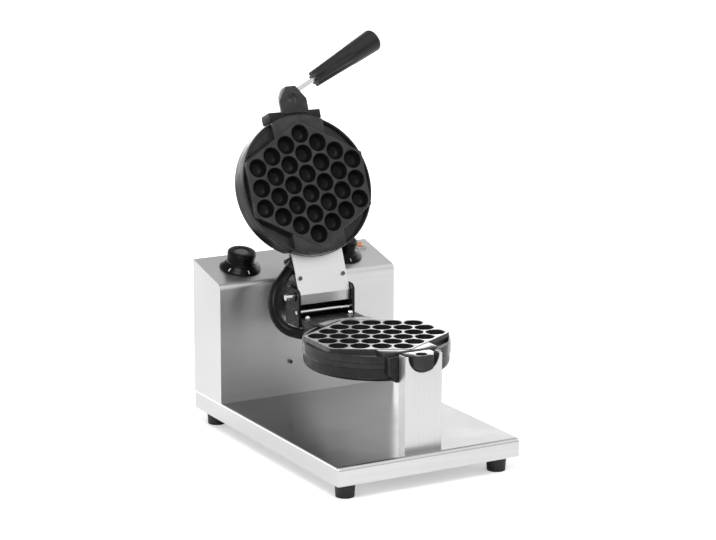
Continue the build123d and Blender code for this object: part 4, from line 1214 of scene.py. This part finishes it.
@dataclass
class Knob:
    """A round control knob: flared skirt, gently waisted barrel, recessed top and marks.

    The flare is the skirt's slope from its edge up to the barrel, and the waist the barrel's
    side, both as radii and heights. The lean is how far out a mark's top lies for its height.
    """

    name: str
    body: Body
    node: str
    bore: float = 10.8 * MM
    bore_depth: float = 9 * MM
    lift: float = 0.6 * MM
    skirt: float = 31.5 * MM
    barrel: float = 22 * MM
    height: float = 28 * MM
    cap: float = 9 * MM
    recess: float = 1.55 * MM
    steps: int = 96
    sharp: float = 50.0
    flare_mm: tuple[Span, ...] = (
        (31.0, 3.2), (27.5, 5.6), (24.6, 8.6), (23.8, 9.4), (22.4, 9.9), (21.6, 10.8))
    waist_mm: tuple[Span, ...] = ((21.3, 14), (21.5, 19), (22.0, 24.2))
    ticks: int = 4
    first_tick: float = -152.0
    tick_step: float = 62.0
    tick_half_width: float = 0.9 * MM
    tick_thick: float = 0.25 * MM
    tick_lean: float = 0.6
    tick_ends_mm: tuple[Span, ...] = ((30.6, 3.9), (26.2, 6.9))

    def place(self, points: np.ndarray) -> np.ndarray:
        """Put points made along Z on the knob's seat, square to the sloped top.

        Args:
            points: The points.

        Returns:
            The points in the scene.
        """
        joint = LAYOUT.knobs[self.body]
        z = np.array(joint["axis"], float)
        z /= np.linalg.norm(z)
        x = np.array([1.0, 0, 0])
        return points @ np.stack([x, np.cross(z, x), z]) + np.array(joint["pos_m"])

    def profile(self) -> np.ndarray:
        """Give the knob's profile as rows of radius and height.

        It runs from the bore's end, out under the skirt, up the flare and the barrel, whose
        waist is narrower than its top, and over the rounded top into the recess.

        Returns:
            The rows.
        """
        b, s, w, c = (size / MM for size in (self.bore, self.skirt, self.barrel, self.cap))
        end, low, top = (size / MM for size in (self.bore_depth, self.lift, self.height))
        floor = top - self.recess / MM
        under = [(0, end), (b, end), (b, low + 0.2), (b + 0.6, low), (s - 0.6, low), (s, low + 0.5),
                 (s, low + 2)]
        over = [(w - 0.4, top - 2), (w - 1.6, top - 0.7), (w - 3.4, top), (c + 3, top),
                (c + 0.6, top - 0.4), (c, top - 1.2), (c, floor), (0, floor)]
        return np.array([*under, *self.flare_mm, *self.waist_mm, *over]) * MM

    def build(self) -> None:
        """Turn the knob from its profile and add the light marks on its skirt."""
        surface = Surface(self.name)
        surface.grid(self.place(turned(self.profile(), around(self.steps))), round_columns=True)
        surface.piece(KNOB_PLASTIC, self.body, self.node, sharp=self.sharp)
        for i in range(self.ticks):
            self.tick(i)

    def tick(self, index: int) -> None:
        """Add one light mark, a thin block that lies on the skirt's slope.

        Args:
            index: The mark's number from 0, counted round the knob.
        """
        turn = math.radians(self.first_tick + self.tick_step * index)
        c, s = math.cos(turn), math.sin(turn)
        across = np.linspace(-self.tick_half_width, self.tick_half_width, 3)
        block = np.array([[[(r + lift * self.tick_lean, a, z + lift) for a in across]
                           for r, z in np.array(self.tick_ends_mm) * MM]
                          for lift in (0.0, self.tick_thick)])
        block = block @ np.array([[c, s, 0], [-s, c, 0], [0, 0, 1]])
        edge = block[:, [0, 0, 0, 1, 1, 1], [0, 1, 2, 2, 1, 0]]
        surface = Surface(f"{self.name}_mark_{index + 1}")
        surface.grid(self.place(edge), round_columns=True)
        surface.grid(self.place(block[1]))
        surface.grid(self.place(block[0]))
        surface.piece(MARK_PAINT, self.body)


@dataclass
class Grip:
    """The tapered handle grip with a domed end and long flutes in its thin half.

    The root is where the handle starts, from the plate's middle on the closed lid. The powers
    set how full the dome is, how narrow a flute is and how quickly it runs out. The end is how
    far inside the small radius and above the start its two rounding rings lie.
    """

    start: float = 44 * MM
    length: float = 133 * MM
    small: float = 13 * MM
    large: float = 18 * MM
    dome: float = 9 * MM
    dome_power: float = 0.9
    flutes: int = 8
    flute_depth: float = 2.6 * MM
    flute_length: float = 66 * MM
    flute_power: float = 2.2
    fade_end: float = 1.15
    fade_power: float = 0.5
    bore: float = 4.1 * MM
    bore_depth: float = 40 * MM
    end_round: float = 1.2 * MM
    end_mm: tuple[Span, ...] = ((1.0, 0.0), (0.2, 0.4))
    body_rings: int = 60
    dome_rings: int = 10
    dome_start: float = 8.0
    steps: int = 160
    sharp: float = 45.0
    root: tuple[float, float, float] = (9 * MM, -144 * MM, 12 * MM)
    angle: float = math.radians(25.4)

    def place(self, points: np.ndarray) -> np.ndarray:
        """Put points made along Z on the handle of the open lid.

        Args:
            points: The points.

        Returns:
            The points in the scene.
        """
        along = np.array([math.cos(self.angle), -math.sin(self.angle), 0])
        x = np.array([0, 0, 1.0])
        closed = points @ np.stack([x, np.cross(along, x), along]) + np.array(self.root)
        return LAYOUT.swung(closed + LAYOUT.plate + np.array([0, 0, LAYOUT.plate_gap / 2]))

    def profile(self) -> tuple[np.ndarray, np.ndarray]:
        """Give the radius and the height of each ring, without the flutes.

        The radius grows evenly with the height up to the dome, where it is the large radius
        times a power of the cosine of an angle, and the height its sine times the dome's.

        Returns:
            The radii and the heights.
        """
        knee = self.start + self.length - self.dome
        body = np.linspace(self.start + self.end_round, knee, self.body_rings)
        bend = np.radians(np.linspace(self.dome_start, 90, self.dome_rings))
        taper = self.small + (self.large - self.small) * (body - self.start) / (knee - self.start)
        inset, rise = np.array(self.end_mm).T * MM
        radius = np.concatenate([[self.bore], self.small - inset, taper,
                                 self.large * np.cos(bend) ** self.dome_power])
        height = np.concatenate([[self.start], self.start + rise, body, knee + self.dome * np.sin(bend)])
        radius[-1] = 0
        return radius, height

    def build(self) -> None:
        """Make the grip from its profile, its flutes and its bore.

        In each flute the radius falls by a power of half of one more than a cosine round the
        axis. That fall fades with the height by another power, down to nothing.
        """
        radius, height = self.profile()
        angle = around(self.steps)
        wave = (0.5 + 0.5 * np.cos(self.flutes * angle)) ** self.flute_power
        run = (height - self.start) / self.flute_length
        fade = np.clip(self.fade_end - run, 0, 1) ** self.fade_power * (run < self.fade_end)
        fade[0] = 0
        fluted = radius[:, None] - self.flute_depth * fade[:, None] * wave[None]
        depth = self.start + self.bore_depth
        bore = np.array([(self.bore, self.start), (self.bore, depth), (0, depth)])
        surface = Surface("fluted_grip")
        surface.grid(self.place(polar(fluted, height[:, None], angle)), round_columns=True)
        surface.grid(self.place(turned(bore, angle)), round_columns=True)
        surface.piece(PHENOLIC, Body.UPPER, "handle_grip", sharp=self.sharp)


@dataclass(frozen=True)
class Band:
    """A part of the world's sphere that is brighter or dimmer than the rest.

    Each ramp is a pair of direction values: where the band is absent, and where it is full.
    """

    strength: float
    heights: tuple[Span, ...]
    depths: tuple[Span, ...]


DARK_CEILING = Band(-0.37, ((0.3, 0.55),), ((-0.2, 0.3),))
DIM_ROOM = Band(-0.5, ((0.02, 0.15), (0.42, 0.3)), ((0.1, -0.55),))
BRIGHT_BACKDROP = Band(1.7, ((0.38, 0.22),), ((0.1, 0.5),))


@dataclass(frozen=True)
class Lamp:
    """A square soft lamp that faces a point over the tray."""

    name: str
    place: tuple[float, float, float]
    size: float
    power: float
    aim: tuple[float, float, float] = (0.0, 0.0, 0.25)

    def build(self) -> None:
        """Put the lamp in its place and turn it to its aim."""
        data = bpy.data.lights.new(self.name, "AREA")
        data.size = self.size
        data.energy = self.power
        lamp = shown(self.name, data)
        lamp.location = self.place
        lamp.rotation_euler = (Vector(self.aim) - Vector(self.place)).to_track_quat("-Z", "Y").to_euler()


@dataclass
class Studio:
    """The camera, the lamps, the world and the floor."""

    target: tuple[float, float, float] = (0.258, 0.668, 0.150)
    azimuth: float = math.radians(-29.45)
    elevation: float = math.radians(13.08)
    roll: float = math.radians(0.17)
    distance: float = 4.056
    lens: float = 121.0
    sensor: float = 36.0
    view_end: float = 50.0
    world_level: float = 0.9
    floor_half: float = 8.0
    floor_greys: Span = (0.87, 0.88)
    floor_clouds: float = 0.8
    floor_roughness: float = 0.9
    floor_specular: float = 0.1
    glow_reach: Span = (0.7, 2.5)
    glow_levels: Span = (0.36, 0.8)
    lamps: tuple[Lamp, ...] = (
        Lamp("key", (-1.1, -1.2, 2.3), 1.2, 34.0), Lamp("fill", (2.2, 0.6, 1.6), 1.4, 12.0))

    def camera(self) -> None:
        """Put the camera at the photograph's viewing angle."""
        a, e = self.azimuth, self.elevation
        back = Vector((math.sin(a) * math.cos(e), -math.cos(a) * math.cos(e), math.sin(e)))
        right = (-back).cross(Vector((0, 0, 1))).normalized()
        up = right.cross(-back)
        c, s = math.cos(self.roll), math.sin(self.roll)
        tilted_right, tilted_up = c * right + s * up, c * up - s * right
        data = bpy.data.cameras.new("view")
        data.lens = self.lens
        data.sensor_width = self.sensor
        data.clip_end = self.view_end
        camera = shown("view", data)
        start = Vector((LAYOUT.middle_x, LAYOUT.front_y, 0)) + Vector(self.target)
        axes = Matrix((tilted_right, tilted_up, back)).transposed().to_4x4()
        camera.matrix_world = Matrix.Translation(start + back * self.distance) @ axes
        bpy.context.scene.camera = camera

    def world(self) -> None:
        """Make the world: white to the camera, and a studio in reflections.

        Its light is one level plus each band's strength times the product of the band's
        ramps: dark high up behind, dim above the horizon in front, and bright low behind.
        """
        world = bpy.data.worlds.new("studio")
        bpy.context.scene.world = world
        world.use_nodes = True
        tree = Tree(world.node_tree)
        direction = tree.add("SeparateXYZ")
        tree.links.new(tree.coordinates.outputs["Generated"], direction.inputs["Vector"])
        level: Socket | float = self.world_level
        for band in (DARK_CEILING, DIM_ROOM, BRIGHT_BACKDROP):
            share: Socket | float = band.strength
            for axis, ramps in (("Z", band.heights), ("Y", band.depths)):
                for across in ramps:
                    share = tree.combine("MULTIPLY", tree.ramp(direction.outputs[axis], across), share)
            level = tree.combine("ADD", level, share)
        shade = tree.nodes["Background"]
        shade.inputs["Color"].default_value = (1, 1, 1, 1)
        to_camera = tree.add("LightPath").outputs["Is Camera Ray"]
        tree.feed(shade.inputs["Strength"], tree.combine("MAXIMUM", level, to_camera))

    def floor(self) -> None:
        """Lay a pale floor that keeps the object's shadow.

        To the camera it glows by itself, and more so further from the object.
        """
        shader = Shader("floor_paper")
        low, high = self.floor_greys
        shader.tint(shader.noise((self.floor_clouds,) * 3, 2.0), grey(low), grey(high))
        away = shader.add("VectorMath", operation="LENGTH")
        shader.links.new(shader.coordinates.outputs["Object"], away.inputs[0])
        rise = shader.ramp(away.outputs["Value"], self.glow_reach, self.glow_levels, smooth=False)
        to_camera = shader.add("LightPath").outputs["Is Camera Ray"]
        glow = shader.combine("MULTIPLY", to_camera, rise)
        shader.set(Roughness=self.floor_roughness, Specular_IOR_Level=self.floor_specular,
                   Emission_Color=(1, 1, 1, 1), Emission_Strength=glow)
        size = self.floor_half
        mesh = bpy.data.meshes.new("floor")
        mesh.from_pydata(np.insert(oblong(size, -size, size), 2, 0, axis=1).tolist(), [], [(0, 1, 2, 3)])
        mesh.materials.append(shader.material)
        shown("floor", mesh)

    def build(self) -> None:
        """Set up the whole studio."""
        self.camera()
        self.world()
        self.floor()
        for lamp in self.lamps:
            lamp.build()
        bpy.context.scene.view_settings.view_transform = "Standard"
        LOG.info("studio ready")


@dataclass
class Conduit:
    """The sleeved wires that loop from the lower plate to the arm.

    The route's points are listed from the lower gland to the upper one, and measured
    from the middle of the tray's front edge.
    """

    radius: float = 8.1 * MM
    steps: int = 32
    line_steps: int = 12
    line_order: int = 3
    sharp: float = 50.0
    square_to: tuple[float, float, float] = (0.55, 0.8, -0.2)
    route_mm: tuple[tuple[float, float, float], ...] = (
        (-63.7, 254.1, 172.5),
        (-72.4, 267.5, 172.5),
        (-84.0, 281.0, 177.0),
        (-91.5, 293.0, 190.0),
        (-93.0, 301.0, 207.0),
        (-88.0, 309.0, 223.5),
        (-77.0, 316.5, 236.0),
        (-61.1, 329.2, 243.6),
        (-48.9, 336.7, 250.6),
    )

    def centre_line(self, route: np.ndarray) -> np.ndarray:
        """Read a smooth line from a spline whose control points are the route's.

        Args:
            route: The route's points.

        Returns:
            The line's points.
        """
        curve = bpy.data.curves.new("conduit_line", "CURVE")
        curve.dimensions = "3D"
        curve.resolution_u = self.line_steps
        spline = curve.splines.new("NURBS")
        spline.points.add(len(route) - 1)
        spline.points.foreach_set("co", np.insert(route, 3, 1.0, axis=1).ravel())
        spline.order_u = self.line_order
        spline.use_endpoint_u = True
        holder = bpy.data.objects.new("conduit_line", curve)
        mesh = bpy.data.meshes.new_from_object(holder)
        points = np.zeros(len(mesh.vertices) * 3)
        mesh.vertices.foreach_get("co", points)
        bpy.data.objects.remove(holder)
        bpy.data.curves.remove(curve)
        bpy.data.meshes.remove(mesh)
        return points.reshape(-1, 3)

    def build(self) -> None:
        """Carry a circle along the line.

        The circle lies across the line's tangent. Its sides are the tangent crossed with one
        fixed direction, and that crossed with the tangent, so that it doesn't twist.
        """
        route = np.array(self.route_mm) * MM + np.array([LAYOUT.middle_x, LAYOUT.front_y, 0])
        line = self.centre_line(route)
        tangent = np.gradient(line, axis=0)
        tangent /= np.linalg.norm(tangent, axis=1)[:, None]
        side = np.cross(tangent, np.array(self.square_to))
        side /= np.linalg.norm(side, axis=1)[:, None]
        other = np.cross(tangent, side)
        angle = around(self.steps)[:, None]
        ring = side[:, None] * np.cos(angle) + other[:, None] * np.sin(angle)
        tube = line[:, None] + self.radius * ring
        ends = [np.broadcast_to(point, tube[:1].shape) for point in (line[0], line[-1])]
        surface = Surface("conduit_sleeve")
        surface.grid(np.concatenate([ends[0], tube, ends[1]]), round_columns=True)
        piece = surface.piece(SLEEVE, None, "wire_conduit", sharp=self.sharp)
        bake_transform(piece)
        length = float(np.linalg.norm(np.diff(line, axis=0), axis=1).sum())
        LOG.info("conduit is %.3f m long", length)


@dataclass
class Iron:
    """Both plates with their shoulders and noses, the rear tongue and the lug for the arms.

    The tongue and the lug are each given as half width, front and back from the plate's
    middle, and as their lowest and highest levels, in millimetres.
    """

    tongue_plan_mm: tuple[float, float, float] = (46, 94, 149.7)
    tongue_levels_mm: Span = (-14, -4)
    lug_plan_mm: tuple[float, float, float] = (34, 96, 125)
    lug_levels_mm: Span = (-46, -19)

    def slab(self, name: str, plan_mm: tuple[float, float, float], levels_mm: Span) -> Slab:
        """Give an upright slab over a rectangle.

        Args:
            name: The slab's name.
            plan_mm: Its half width, front and back.
            levels_mm: Its lowest and highest levels.

        Returns:
            The slab.
        """
        half_width, front, back = (size * MM for size in plan_mm)
        low, high = (level * MM for level in levels_mm)
        return Slab(name, oblong(half_width, front, back), 2, low, high)

    def build(self) -> None:
        """Build everything on the lower plate and on the upper one."""
        lower = Plate(Body.LOWER, LAYOUT.at_lower)
        upper = Plate(Body.UPPER, LAYOUT.at_upper)
        lower.build("lower_plate", "lower_casting")
        upper.build("upper_plate", "upper_casting")
        Shoulder(lower).build("lower_shoulder")
        Shoulder(upper).build("upper_shoulder")
        Nose(lower, length=24.5 * MM, straight=8 * MM, tip=12.5 * MM,
             pocket_radius=8 * MM, pocket_depth=5 * MM).build("lower_lug")
        Nose(upper, length=38 * MM, straight=17 * MM, tip=8 * MM,
             pocket_radius=7 * MM, pocket_depth=3 * MM).build("upper_nose")
        tongue = self.slab("rear_tongue", self.tongue_plan_mm, self.tongue_levels_mm)
        tongue.build(lower.place, BLACK_PAINT, Body.LOWER)
        lug = self.slab("arm_lug", self.lug_plan_mm, self.lug_levels_mm)
        lug.build(upper.place, COATED, Body.UPPER)


def main() -> None:
    """Build the scene in order."""
    logging.basicConfig(level=logging.INFO)
    Studio().build()
    PAINTBOX.dress_nodes()
    Tray().build()
    Iron().build()
    Knob("timer_dial_knob", Body.TIMER, "timer_knob").build()
    Knob("thermostat_dial_knob", Body.THERMOSTAT, "thermostat_knob").build()
    Grip().build()
    Conduit().build()


if __name__ == "__main__":
    main()
